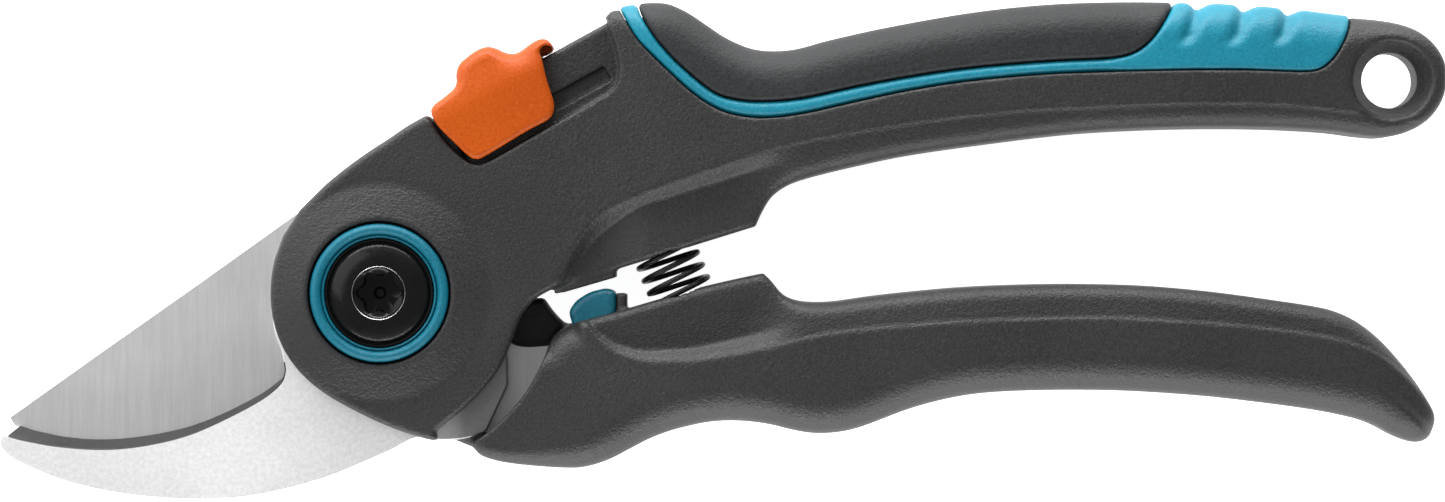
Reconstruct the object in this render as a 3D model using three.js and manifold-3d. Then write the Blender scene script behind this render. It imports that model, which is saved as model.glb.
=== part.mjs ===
// Bypass pruner lying flat on its back. Millimetres, +Z up.
// The origin is on the pivot axis, in the plane that the tool lies on. +X runs towards the handles' ends.
import * as THREE from "three";
import { mergeVertices } from "three/addons/utils/BufferGeometryUtils.js";
import Module from "manifold-3d";

const wasm = await Module();
wasm.setup();

// ---- Driving dimensions ----
const UPPER_REACH = 165.6; // pivot axis to the upper handle's end
const LOWER_REACH = 164.2; // pivot axis to the lower handle's end
const GRIP_THICKNESS = 21;
const BLADE_THICKNESS = 3;
const HOOK_THICKNESS = 3.3;
const CHEEK_THICKNESS = 3.3; // the moulded plate on each side of the pivot
const BOSS_RISE = 1.8; // how far the round boss stands off its cheek
const DISC_RADIUS = 17.9; // round root of the blade
const THROAT_RADIUS = 17.5; // round root of the hook
const TANG_GAP_RADIUS = 27.3; // where the lower handle's front half starts
const SHANK_RADIUS = 4;
const SLEEVE_WALL = 1.2; // wall of the bush and of the nut's sleeve
const HEAD_RADIUS = 7.6;
const CUP_RADIUS = 8.3;
const RING_RADIUS = 10.75;
const BOSS_RADIUS = 11.4; // at its top
const BOSS_FOOT = 15.2; // radius of the boss where it meets its cheek
const NUT_ACROSS_FLATS = 13;
const SOCKET_RADIUS = 3.2;
const SOCKET_DEPTH = 3.2;
const RIDGE_ANGLE = 28.8; // slope of the lock's ridge to the handles, degrees
const RIDGE_HEIGHT = 19.85; // pivot axis to the ridge's top, square to the ridge
const RIDGE_THICKNESS = 9.8;
const LOCK_LENGTH = 18.1; // of the lock's legs
const LOCK_WALL = 2.5;
const LOCK_TRAVEL = 8;
const CATCH_THICKNESS = 1.9;
const SPRING_RADIUS = 4.75; // to the wire's centre
const SPRING_WIRE = 0.85;
const SPRING_TURNS = 8;
const HANG_HOLE_RADIUS = 4.3;
const SOFT_WALL = 2.2; // thickness of the soft layers
const FIT = 0.3; // clearance between pieces that touch

// ---- Heights worked out from them ----
const MID = GRIP_THICKNESS / 2;
const BLADE_TOP = MID - FIT / 2;
const BLADE_BOTTOM = BLADE_TOP - BLADE_THICKNESS;
const HOOK_BOTTOM = MID + FIT / 2;
const HOOK_TOP = HOOK_BOTTOM + HOOK_THICKNESS;
const CHEEK_BOTTOM = HOOK_TOP + FIT;
const CHEEK_TOP = CHEEK_BOTTOM + CHEEK_THICKNESS;
const REAR_CHEEK_TOP = BLADE_BOTTOM - FIT;
const REAR_CHEEK_BOTTOM = REAR_CHEEK_TOP - CHEEK_THICKNESS;
const NECK_HALF = CHEEK_TOP - MID;
const SLEEVE_RADIUS = SHANK_RADIUS + FIT + SLEEVE_WALL;
const PIVOT_HOLE_RADIUS = SLEEVE_RADIUS + FIT;
const COUNTERBORE_RADIUS = RING_RADIUS + FIT;
const COUNTERBORE_SINK = 0.45; // below the cheek's face
const CATCH_BOTTOM = BLADE_BOTTOM + 0.55;
const CATCH_TOP = CATCH_BOTTOM + CATCH_THICKNESS;
const GRIP_START = 34; // where each grip grows out of its neck
const BELOW = -1; // under the whole tool, where a cut starts
const ABOVE = 40; // over the whole tool, where a cut ends
const TAU = 2 * Math.PI;
const ROUND = 48; // sides of a turned piece

// ---- Solids ----
function solid(geometry) {
  const bare = new THREE.BufferGeometry();
  bare.setAttribute("position", geometry.getAttribute("position"));
  bare.setIndex(geometry.index);
  const merged = mergeVertices(bare, 1e-4);
  const mesh = new wasm.Mesh({
    numProp: 3,
    vertProperties: merged.getAttribute("position").array,
    triVerts: new Uint32Array(merged.index.array),
  });
  return new wasm.Manifold(mesh);
}

// A stack of rings with the same number of points, listed anticlockwise as seen from the last ring's side.
// flat turns a ring's point into the two coordinates of its own plane.
function skin(rings, flat) {
  const count = rings[0].length;
  const last = (rings.length - 1) * count;
  const faces = [];
  for (let row = 0; row < rings.length - 1; row++) {
    for (let i = 0; i < count; i++) {
      const a = row * count + i;
      const b = row * count + ((i + 1) % count);
      faces.push(a, b, b + count, a, b + count, a + count);
    }
  }
  for (const [a, b, c] of THREE.ShapeUtils.triangulateShape(rings[0].map(flat), [])) {
    faces.push(c, b, a);
  }
  for (const [a, b, c] of THREE.ShapeUtils.triangulateShape(rings.at(-1).map(flat), [])) {
    faces.push(last + a, last + b, last + c);
  }
  const geometry = new THREE.BufferGeometry().setFromPoints(rings.flat());
  geometry.setIndex(faces);
  return solid(geometry);
}

const inPlan = (point) => new THREE.Vector2(point.x, point.y);
const inSection = (point) => new THREE.Vector2(point.y, point.z);

// Levels are [height, outline] pairs; every outline holds the same number of points.
function stacked(...levels) {
  const rings = levels.map(([z, points]) => points.map(([x, y]) => new THREE.Vector3(x, y, z)));
  return skin(rings, inPlan);
}

function plate(points, bottom, top) {
  const shape = new THREE.Shape(points.map(([x, y]) => new THREE.Vector2(x, y)));
  const geometry = new THREE.ExtrudeGeometry(shape, { depth: top - bottom, bevelEnabled: false });
  return solid(geometry.translate(0, 0, bottom));
}

// A turned piece about Z. The profile lists [radius, height] pairs anticlockwise.
function turned(profile, closed = true) {
  const points = profile.map(([radius, z]) => new THREE.Vector2(radius, z));
  if (closed) points.push(points[0].clone());
  return solid(new THREE.LatheGeometry(points, ROUND).rotateX(Math.PI / 2));
}

const disc = (radius, bottom, top) => turned([[0, bottom], [radius, bottom], [radius, top], [0, top]], false);

const ringSolid = (inner, outer, bottom, top) =>
  turned([[inner, bottom], [outer, bottom], [outer, top], [inner, top]]);

function box(low, high) {
  const size = new THREE.Vector3().subVectors(high, low);
  const middle = new THREE.Vector3().addVectors(low, high).multiplyScalar(0.5);
  return solid(new THREE.BoxGeometry(size.x, size.y, size.z).translate(middle.x, middle.y, middle.z));
}

function rod(radius, from, to) {
  const along = new THREE.Vector3().subVectors(to, from);
  const up = new THREE.Vector3(0, 1, 0);
  const turn = new THREE.Quaternion().setFromUnitVectors(up, along.clone().normalize());
  const geometry = new THREE.CylinderGeometry(radius, radius, along.length(), ROUND / 2);
  geometry.translate(0, along.length() / 2, 0).applyQuaternion(turn).translate(from.x, from.y, from.z);
  return solid(geometry);
}

// ---- Outlines ----
const radians = THREE.MathUtils.degToRad;

function arc(radius, from, to, steps) {
  const points = [];
  for (let i = 0; i <= steps; i++) {
    const angle = radians(from + ((to - from) * i) / steps);
    points.push([radius * Math.cos(angle), radius * Math.sin(angle)]);
  }
  return points;
}

// A smooth curve through the points, cut into equal steps.
function smooth(points, steps) {
  const curve = new THREE.SplineCurve(points.map(([x, y]) => new THREE.Vector2(x, y)));
  return curve.getSpacedPoints(steps).map((point) => [point.x, point.y]);
}

// The outline moved outwards by the margin; the outline runs anticlockwise.
function grown(points, margin) {
  const count = points.length;
  return points.map(([x, y], i) => {
    const before = points[(i + count - 1) % count];
    const after = points[(i + 1) % count];
    const run = new THREE.Vector2(x - before[0], y - before[1]).normalize();
    const next = new THREE.Vector2(after[0] - x, after[1] - y).normalize();
    const out = new THREE.Vector2(run.y + next.y, -run.x - next.x);
    const reach = margin / Math.max(0.5, (out.length() / 2) ** 2);
    return [x + (out.x / 2) * reach, y + (out.y / 2) * reach];
  });
}

// Ridge coordinates: along the ridge, and square to it away from the pivot.
const RIDGE_COS = Math.cos(radians(RIDGE_ANGLE));
const RIDGE_SIN = Math.sin(radians(RIDGE_ANGLE));
const onRidge = ([along, off]) => [along * RIDGE_COS - off * RIDGE_SIN, along * RIDGE_SIN + off * RIDGE_COS];

// ---- Grips ----
// Each station is [share of the way from the grip's start to its end, outer edge, inner edge, crease, swell].
// The crease is the ridge line near the edge that faces the other handle; swell runs from 0 at the neck to 1.
const UPPER_STATIONS = [
  [0, 42.4, 3.0, 13.0, 0], [0.05, 44.8, 4.9, 15.7, 0.02], [0.09, 44.5, 6.4, 17.6, 0.08],
  [0.13, 41.4, 7.9, 19.5, 0.18], [0.165, 38.6, 9.2, 21.2, 0.3], [0.186, 37.8, 10.1, 22, 0.36],
  [0.2, 37.6, 13.6, 22.5, 0.42], [0.225, 37.7, 16.6, 23.4, 0.52], [0.272, 39.3, 18.5, 24.5, 0.68],
  [0.32, 40.7, 19.9, 25.4, 0.8], [0.38, 42.2, 21.6, 26.6, 0.92], [0.45, 43.7, 23, 27.8, 0.98],
  [0.53, 44.7, 24.2, 28.7, 1], [0.62, 45.2, 25, 29.2, 1], [0.7, 45.1, 25.4, 29.5, 0.97],
  [0.78, 44.3, 25.4, 29.6, 0.85], [0.85, 43.6, 24.9, 28.9, 0.68], [0.91, 42.8, 23.9, 27.8, 0.5],
  [0.945, 42.2, 24.2, 27.9, 0.35], [0.968, 40.9, 25.4, 28.6, 0.2], [0.985, 39.3, 27.4, 29.9, 0],
  [0.996, 37, 29.6, 31.2, -0.35], [1, 35, 31.4, 32.4, -0.7],
];
const LOWER_STATIONS = [
  [0, -26.6, -3.6, -8.1, 0], [0.04, -24.1, -2.3, -10.4, 0.02], [0.08, -21.6, -0.7, -11.1, 0.06],
  [0.13, -20.2, 1.2, -10.8, 0.14], [0.165, -19.9, 2.1, -10, 0.24], [0.196, -20.3, 2.9, -9, 0.36],
  [0.206, -20.5, 1.9, -8.7, 0.4], [0.23, -21.3, -0.7, -8, 0.5], [0.255, -21.8, -1.4, -7.2, 0.6],
  [0.285, -21.7, -1.3, -6.4, 0.68], [0.325, -20.1, -0.4, -5.9, 0.78], [0.37, -17.9, 0.1, -5.4, 0.88],
  [0.42, -16.3, 0.7, -4.9, 0.95], [0.5, -15.3, 1.1, -4.5, 1], [0.6, -15.1, 1.3, -4.2, 1],
  [0.68, -15.6, 0.8, -4.7, 0.95], [0.76, -16.5, -0.2, -5.5, 0.84], [0.84, -17.9, -1.8, -6.8, 0.66],
  [0.89, -19.2, -3.2, -8.2, 0.5], [0.925, -20.5, -6.6, -10.8, 0.36], [0.955, -22.7, -10.9, -14.2, 0.2],
  [0.98, -23.2, -15, -17.8, 0], [0.993, -22.8, -17.8, -19.6, -0.3], [1, -21.6, -19.6, -20.4, -0.7],
];
const EDGE_ROUNDING = 4.6;
const SPRING_FACE_END = 60; // where the flat faces that hold the spring end

// One grip section, half of it given from the outer edge to the inner edge and mirrored about the mid plane.
// Over the spring the inner edge is a flat face, wide enough to wall in the spring's pocket.
function gripRing(x, half, outer, inner, crease) {
  const [middle, end, width] = x < SPRING_FACE_END ? [0.9, 1, 0.86] : [0.74, 0.86, 0.42];
  const side = Math.sign(outer - inner);
  const rounding = Math.min(EDGE_ROUNDING, Math.abs(outer - inner) * 0.35) * side;
  const fold = side * Math.min(side * crease, side * (outer - 1.2 * rounding));
  const inwards = inner - fold;
  const front = [
    [outer, 0.5], [outer - 0.3 * rounding, 0.84], [outer - rounding, 1], [fold, 0.95],
    [fold + 0.5 * inwards, middle], [fold + end * inwards, width],
  ];
  const rear = front.toReversed().map(([y, share]) => [y, -share]);
  const points = [...front, [inner, 0], ...rear];
  const ring = points.map(([y, share]) => new THREE.Vector3(x, y, MID + share * half));
  return outer > inner ? ring : ring.reverse();
}

// trim lowers the outer edge and narrows the section, which makes the hard core under a soft layer.
function grip(stations, reach, trim = 0) {
  const side = Math.sign(stations[0][1] - stations[0][2]);
  const rings = stations.map(([share, outer, inner, crease, swell]) => {
    const x = THREE.MathUtils.lerp(GRIP_START, reach, share);
    const half = NECK_HALF + swell * (MID - NECK_HALF) - trim;
    return gripRing(x, half, outer - side * trim * 1.1, inner, crease);
  });
  return skin(rings, inSection);
}

// ---- Upper handle ----
const DRAWN_LENGTH = 131.6; // length of the grip that the soft layers' outlines are drawn for
const STRETCH_START = 60; // beyond it the outlines follow the upper handle's reach
const atUpper = (x) => GRIP_START + ((x - GRIP_START) * (UPPER_REACH - GRIP_START)) / DRAWN_LENGTH;
const along = (points) => points.map(([x, y]) => [x > STRETCH_START ? atUpper(x) : x, y]);

const HEAD_TOP = [
  [7.3, 28], [4.2, 26.3], [1.1, 24.1], [-2, 22.1], [-5.2, 19.8], [-8.3, 17.3], [-11.4, 14.1],
];
const CHEEK_OUTLINE = [
  [40, 4.8], [40, 45], [36.4, 44.1], ...HEAD_TOP, [-13.9, 11.2], [-15.9, 7.4], [-17, 2.6], [-17.1, -1.6],
  [-16, -6.9], [-14.2, -10.5], [-11.6, -13.6], [-8.2, -16.2], [-4.6, -18.2], [-0.5, -20.2], [5.5, -22.6],
  [9.2, -23], [8.9, -21.7], [13.4, -18], [17.4, -13.6], [20.3, -8.4], [21.5, -4], [22.3, -1.9], [24.4, -0.3],
];
const NECK_OUTLINE = [
  [18, 1.6], [25, 1.6], [29, 1.6], [40, 4.8], [40, 45], [36.4, 44.1], [7.3, 28], [4.2, 26.3], [1.1, 24.1],
  [-1.6, 22.3], [-1.6, 14],
];
const CHANNEL = [
  [19.6, RIDGE_HEIGHT + 6], [19.8, 18], [20.9, 12.8], [21.8, 10.8], [23, 9.9], [25, 9.6], [46.4, 9.9],
  [48, 10.7], [49.3, 12.4], [50.1, 15], [50.7, 17.8], [51.1, RIDGE_HEIGHT + 6],
];
const GROOVE_LOW = 11.7;
const GROOVE_HIGH = 14.1;
const GROOVE_DEPTH = 0.8;
const CATCH_OUTLINE = [
  [18.75, 3.2], [30, 2.4], [33, 5], [33, 20.9], [28, 20.9], [28, 11], [24, 7.3], [18.75, 6.4],
];
const CATCH_POCKET = [
  [15, 1], [33 + LOCK_TRAVEL + FIT, 1], [33 + LOCK_TRAVEL + FIT, 24], [28 - FIT, 24], [28 - FIT, 11.6],
  [23.4, 8], [15, 7],
];
const INLAY_LOW = [
  [36.4, 45.6], [38.6, 41], [42.3, 36.6], [48.3, 31], [51.8, 28.6], [54.7, 27.5], [59.5, 27], [65.5, 27.6],
  [73.4, 29.4], [81.4, 31.2], [89.4, 32.5], [97.4, 33.4], [105.3, 33.8], [112, 34.1], [125.3, 34.4],
  [143.4, 34.1], [146.7, 35.5], [148.2, 37.3], [149.6, 39.9], [151, 45],
];
const INLAY_HIGH = [
  [123.8, 47], [120.9, 41.3], [119.4, 39.3], [117.5, 37.6], [115.3, 36.6], [112, 36.1], [105.3, 35.9],
  [97.4, 35.3], [89.4, 34.5], [81.4, 33.3], [73.4, 31.8], [65.5, 30], [59.5, 29.6], [54.7, 30],
  [51.9, 31], [47.1, 34.7], [42.3, 40], [39.6, 46],
];
const SKY = 60; // well outside every outline

const inlayZone = () =>
  along([...INLAY_LOW, [151, SKY], [123.8, SKY], ...INLAY_HIGH, [39.6, SKY], [36.4, SKY]]);
const padZone = () => along([...INLAY_HIGH.toReversed(), [123.8, SKY], [39.6, SKY]]);
const softZone = () => along([...INLAY_LOW, [151, SKY], [36.4, SKY]]);
const zone = (points) => plate(points, MID - SKY, MID + SKY);

const upperGrip = () => grip(UPPER_STATIONS, UPPER_REACH);
const upperCore = (gap) => grip(UPPER_STATIONS, UPPER_REACH, SOFT_WALL - gap);

function gripInlay() {
  return upperGrip().intersect(zone(inlayZone())).subtract(upperCore(FIT));
}

function gripPad() {
  return upperGrip().intersect(zone(grown(padZone(), -FIT))).subtract(upperCore(FIT));
}

// The spring stands between two pockets, one in each handle.
const SPRING_TOP = new THREE.Vector3(44.3, 5.6, MID);
const SPRING_FOOT = new THREE.Vector3(46.5, 0.3, MID);
const SPRING_SEAT_DEPTH = 5;
const springAxis = new THREE.Vector3().subVectors(SPRING_FOOT, SPRING_TOP).normalize();
const springPoint = (from, distance) => from.clone().addScaledVector(springAxis, distance);
const springPocket = (from, to) => rod(SPRING_RADIUS + SPRING_WIRE / 2 + FIT, from, to);

function ridgeCuts() {
  const rise = RIDGE_THICKNESS / 2;
  const far = MID + 20;
  const near = MID - 20;
  const channel = CHANNEL.toReversed().map(onRidge);
  const top = [[19.8, RIDGE_HEIGHT], [51.1, RIDGE_HEIGHT], [51.1, 26], [19.8, 26]].map(onRidge);
  const left = 21.5;
  const right = 39.2 + LOCK_TRAVEL;
  const groove = [
    [left, GROOVE_LOW], [right, GROOVE_LOW], [right, GROOVE_HIGH], [left, GROOVE_HIGH],
  ].map(onRidge);
  return [
    plate(channel, MID + rise, far),
    plate(channel, near, MID - rise),
    plate(top, near, far),
    plate(groove, MID + rise - GROOVE_DEPTH, far),
    plate(groove, near, MID - rise + GROOVE_DEPTH),
    plate(CATCH_POCKET.map(onRidge), CATCH_BOTTOM - FIT, CATCH_TOP + FIT),
  ];
}

function boss(face, direction) {
  const top = face + direction * BOSS_RISE;
  const base = face - direction;
  const shoulder = top - direction * 0.5;
  const profile = [
    [0, base], [BOSS_FOOT + 0.4, base], [BOSS_FOOT, face], [BOSS_RADIUS + 0.5, shoulder],
    [BOSS_RADIUS, top], [0, top],
  ];
  return turned(direction > 0 ? profile : profile.toReversed(), false);
}

const stopRib = () => plate([[28.4, 3], [28.8, 0.4], [36.3, 2.4], [36.8, 5]], MID - 4.5, MID + 4.5);

function upperHandleBody() {
  const behindCheek = disc(DISC_RADIUS + 0.5, BELOW, CHEEK_BOTTOM);
  let body = plate(NECK_OUTLINE, MID - NECK_HALF, CHEEK_BOTTOM + 0.5).subtract(behindCheek);
  body = body.add(plate(CHEEK_OUTLINE, CHEEK_BOTTOM, CHEEK_TOP));
  body = body.add(upperGrip()).add(boss(CHEEK_TOP, 1)).add(stopRib());
  const holeAt = new THREE.Vector3(atUpper(156.8), 33, 0);
  const cuts = [
    zone(grown(softZone(), FIT)).subtract(upperCore(0)),
    ...ridgeCuts(),
    disc(COUNTERBORE_RADIUS, CHEEK_TOP - COUNTERBORE_SINK, ABOVE),
    disc(PIVOT_HOLE_RADIUS, BELOW, ABOVE),
    plate(grown(hookOutline(), FIT), HOOK_BOTTOM - FIT, CHEEK_BOTTOM),
    springPocket(springPoint(SPRING_TOP, -SPRING_SEAT_DEPTH - FIT), springPoint(SPRING_TOP, 4)),
    rod(HANG_HOLE_RADIUS, holeAt, holeAt.clone().setZ(ABOVE)),
  ];
  for (const cut of cuts) body = body.subtract(cut);
  return body;
}

// ---- Steel plates ----
const pivotHole = () => disc(PIVOT_HOLE_RADIUS, BELOW, ABOVE);

const HOOK_EDGE = [
  [-56.6, -20.8], [-53, -21.9], [-49.3, -22.6], [-44.8, -22.9], [-40, -22.7], [-34.8, -22], [-29.8, -20.8],
  [-24.8, -18.8], [-19.8, -16.3], [-16.6, -14.1], [-15.2, -12.6],
];
const HOOK_FRONT_EDGE = [
  [-58.1, -22.3], [-54.2, -23.1], [-50, -23.9], [-44.8, -24.2], [-40, -24], [-34.8, -23.3], [-29.8, -21.9],
  [-24.8, -19.7], [-19.8, -17.2], [-16.5, -14.9], [-15.15, -12.6],
];
const HOOK_REST = [
  [-15.3, -9.8], [-16.6, -6.4], [-17.3, -2.6], ...arc(THROAT_RADIUS, 180, 100, 8), [6, 22], [16, 26.6],
  [27, 30.5], [32, 28], [31, 15], [24, 6.5], [17.3, 3], [18.6, -4], [19.5, -10], [19.5, -14.4], [16.1, -21.7],
  [11.1, -23.1], [5.5, -22.7], [-2, -26.3], [-8.3, -29], [-14.5, -30.8], [-20.8, -32.2], [-27, -32.4],
  [-33.3, -32.2], [-41.1, -31.3], [-50.6, -29], [-55.9, -26.7], [-58.7, -25], [-59.5, -23.3], [-59, -21.9],
];
// Anticlockwise from above.
const hookOutline = () => [...HOOK_EDGE, ...HOOK_REST].toReversed();
const hookFrontOutline = () => [...HOOK_FRONT_EDGE, ...HOOK_REST].toReversed();
const HOOK_LAND = 1; // flat that is left at the hook's cutting edge

function counterBlade() {
  const levels = [
    [HOOK_BOTTOM, hookOutline()], [HOOK_BOTTOM + HOOK_LAND, hookOutline()], [HOOK_TOP, hookFrontOutline()],
  ];
  return stacked(...levels).subtract(pivotHole());
}

const BLADE_TIP = [-58.4, -19.5];
const BLADE_EDGE = [
  [-57, -21.2], [-52, -23], [-45, -24], [-38, -23.9], [-31, -22.8], [-25, -21], [-19, -18.4], [-14.5, -16.6],
];
const BLADE_GRIND = [
  [-55.6, -18.6], [-50, -17.9], [-44, -18], [-38, -17.6], [-31.5, -16.4], [-26, -14.8], [-20.5, -13.6],
  [-14.3, -15.6],
];
const bladeRest = () => [
  ...arc(DISC_RADIUS, -125, -70, 5), [12, -20.6], [16, -21.9], [28, -21.6], [40, -17.6], [46, -14.4],
  [46, -11], [40, -8.4], [25.5, -8.3], [22, -8.6], [17.6, -5], ...arc(DISC_RADIUS, -12, 125, 14),
];

// Flat on the hook's side and ground to an edge on the other.
function cuttingBlade() {
  const edge = [BLADE_TIP, ...BLADE_EDGE, ...bladeRest()];
  const ground = [BLADE_TIP, ...BLADE_GRIND, ...bladeRest()];
  const land = BLADE_TOP - 0.35;
  return stacked([BLADE_BOTTOM, ground], [land, edge], [BLADE_TOP, edge]).subtract(pivotHole());
}

// ---- Lower handle ----
const lowerNeck = () => [
  [27.7, -6], [25.4, -8.3], ...arc(TANG_GAP_RADIUS - 1, -20, -54, 4), [14.5, -23.9], [14.8, -24.6],
  [16.7, -25.7], [23, -26.8], [29.2, -27.3], [32.3, -27.1], [35.5, -26], [40, -23.6], [40, -1.9], [37.2, -2.8],
  [29.5, -4.75],
];
const rearCheek = () => [
  ...arc(17, -3.4, 245, 22), [4, -20.6], [11.1, -23.3], [14.4, -24.5], [30, -25], [36, -20], [36, -6],
  [29.2, -5.2], [27.9, -4.5], [26.3, -2.8], [25, -1],
];
const BUFFER_OUTLINE = [
  [30.6, -7.4], [35.6, -6], [36.5, -3.1], [36.5, 0.1], [35.3, 0.6], [32.5, 0.1], [30.6, -0.9], [29.3, -2.7],
  [29.7, -4.4],
];
const BUFFER_HALF = 4.8;

function lowerHandleBody() {
  let body = plate(rearCheek(), REAR_CHEEK_BOTTOM, REAR_CHEEK_TOP).add(boss(REAR_CHEEK_BOTTOM, -1));
  let neck = plate(lowerNeck(), REAR_CHEEK_TOP - 1, CHEEK_TOP);
  neck = neck.subtract(disc(TANG_GAP_RADIUS, REAR_CHEEK_TOP, ABOVE));
  body = body.add(neck).add(plate(lowerNeck(), REAR_CHEEK_BOTTOM, REAR_CHEEK_TOP));
  body = body.add(grip(LOWER_STATIONS, LOWER_REACH).subtract(disc(TANG_GAP_RADIUS, REAR_CHEEK_TOP, ABOVE)));
  const tang = grown([BLADE_TIP, ...BLADE_EDGE, ...bladeRest()], FIT);
  const cuts = [
    plate(tang, REAR_CHEEK_TOP, BLADE_TOP + FIT),
    disc(DISC_RADIUS + 2, REAR_CHEEK_TOP, ABOVE),
    disc(COUNTERBORE_RADIUS, BELOW, REAR_CHEEK_BOTTOM - COUNTERBORE_SINK),
    pivotHole(),
    plate(grown(BUFFER_OUTLINE, FIT), MID - BUFFER_HALF - FIT, MID + BUFFER_HALF + FIT),
    springPocket(springPoint(SPRING_FOOT, -4), springPoint(SPRING_FOOT, SPRING_SEAT_DEPTH + FIT)),
  ];
  for (const cut of cuts) body = body.subtract(cut);
  return body;
}

const stopBuffer = () => plate(BUFFER_OUTLINE, MID - BUFFER_HALF, MID + BUFFER_HALF);

function returnSpring() {
  const start = springPoint(SPRING_TOP, -SPRING_SEAT_DEPTH + SPRING_WIRE / 2);
  const end = springPoint(SPRING_FOOT, SPRING_SEAT_DEPTH - SPRING_WIRE / 2);
  const side = new THREE.Vector3(0, 0, 1);
  const across = new THREE.Vector3().crossVectors(springAxis, side);
  const steps = SPRING_TURNS * 12;
  const points = [];
  for (let i = 0; i <= steps; i++) {
    const angle = (TAU * SPRING_TURNS * i) / steps;
    const point = new THREE.Vector3().lerpVectors(start, end, i / steps);
    point.addScaledVector(side, SPRING_RADIUS * Math.cos(angle));
    points.push(point.addScaledVector(across, SPRING_RADIUS * Math.sin(angle)));
  }
  const ring = arc(SPRING_WIRE / 2, 0, 300, 5).map(([x, y]) => new THREE.Vector2(x, y));
  const section = new THREE.Shape(ring);
  const path = new THREE.CatmullRomCurve3(points);
  return solid(new THREE.ExtrudeGeometry(section, { steps, bevelEnabled: false, extrudePath: path }));
}

// ---- Pivot ----
const SEAT = CHEEK_TOP - COUNTERBORE_SINK + FIT; // what stands in the front counterbore starts here
const CUP_WALL = 0.4;
const CUP_FLOOR = 0.6;
const HEAD_SEAT = SEAT + CUP_FLOOR + FIT;
const HEAD_TOP_HEIGHT = HEAD_SEAT + 1.9;
const RING_INNER = CUP_RADIUS + FIT;
const REAR_SEAT = REAR_CHEEK_BOTTOM - COUNTERBORE_SINK - FIT; // what stands in the rear counterbore ends here
const WASHER_THICKNESS = 0.5;
const NUT_FLANGE = REAR_SEAT - WASHER_THICKNESS - FIT;

function lobedSocket() {
  const points = [];
  for (let i = 0; i < ROUND; i++) {
    const angle = (TAU * i) / ROUND;
    const radius = SOCKET_RADIUS * (0.87 + 0.13 * Math.cos(6 * angle));
    points.push([radius * Math.cos(angle), radius * Math.sin(angle)]);
  }
  return plate(points, HEAD_TOP_HEIGHT - SOCKET_DEPTH, ABOVE);
}

function pivotBolt() {
  const end = NUT_FLANGE + FIT;
  const edge = HEAD_TOP_HEIGHT - 1;
  const profile = [
    [0, end], [SHANK_RADIUS, end], [SHANK_RADIUS, HEAD_SEAT], [HEAD_RADIUS, HEAD_SEAT], [HEAD_RADIUS, edge],
    [HEAD_RADIUS - 0.6, HEAD_TOP_HEIGHT - 0.45], [HEAD_RADIUS - 2, HEAD_TOP_HEIGHT - 0.12],
    [SOCKET_RADIUS + 1.2, HEAD_TOP_HEIGHT], [0, HEAD_TOP_HEIGHT],
  ];
  return turned(profile, false).subtract(lobedSocket());
}

function pivotCupWasher() {
  const rim = SEAT + 1.9;
  const inner = CUP_RADIUS - CUP_WALL;
  const profile = [
    [SHANK_RADIUS + FIT, SEAT], [CUP_RADIUS, SEAT], [CUP_RADIUS, rim], [inner, rim], [inner, SEAT + CUP_FLOOR],
    [SHANK_RADIUS + FIT, SEAT + CUP_FLOOR],
  ];
  return turned(profile);
}

function frontAccentRing() {
  const crown = SEAT + 2.4;
  const profile = [
    [RING_INNER, SEAT], [RING_RADIUS, SEAT], [RING_RADIUS, crown - 0.6], [RING_RADIUS - 0.5, crown],
    [RING_INNER + 0.4, crown], [RING_INNER, crown - 0.4],
  ];
  return turned(profile);
}

function rearAccentRing() {
  const crown = REAR_SEAT - 1.6;
  const profile = [
    [RING_INNER, crown + 0.4], [RING_INNER + 0.4, crown], [RING_RADIUS - 0.5, crown],
    [RING_RADIUS, crown + 0.6], [RING_RADIUS, REAR_SEAT], [RING_INNER, REAR_SEAT],
  ];
  return turned(profile);
}

const pivotBush = () =>
  ringSolid(SHANK_RADIUS + FIT, SLEEVE_RADIUS, BLADE_BOTTOM - FIT / 2, CHEEK_TOP - COUNTERBORE_SINK);

const springWasher = () =>
  ringSolid(PIVOT_HOLE_RADIUS, CUP_RADIUS - CUP_WALL, REAR_SEAT - WASHER_THICKNESS, REAR_SEAT);

function pivotNut() {
  const corner = NUT_ACROSS_FLATS / 2 / Math.cos(Math.PI / 6);
  const hexagon = arc(corner, 0, 300, 5);
  const flange = disc(CUP_RADIUS, NUT_FLANGE / 2, NUT_FLANGE);
  const sleeve = ringSolid(SHANK_RADIUS + FIT, SLEEVE_RADIUS, NUT_FLANGE - 0.1, BLADE_BOTTOM - FIT * 1.5);
  return plate(hexagon, 0, NUT_FLANGE).add(flange).add(sleeve);
}

// ---- Lock ----
const LOCK_FRONT = 20.3; // front edge of the lock's legs, along the ridge
const LOCK_BACK = LOCK_FRONT + LOCK_LENGTH;
const CROWN_HEIGHT = RIDGE_HEIGHT + FIT;
const LEG_FOOT = 10.8;

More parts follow.
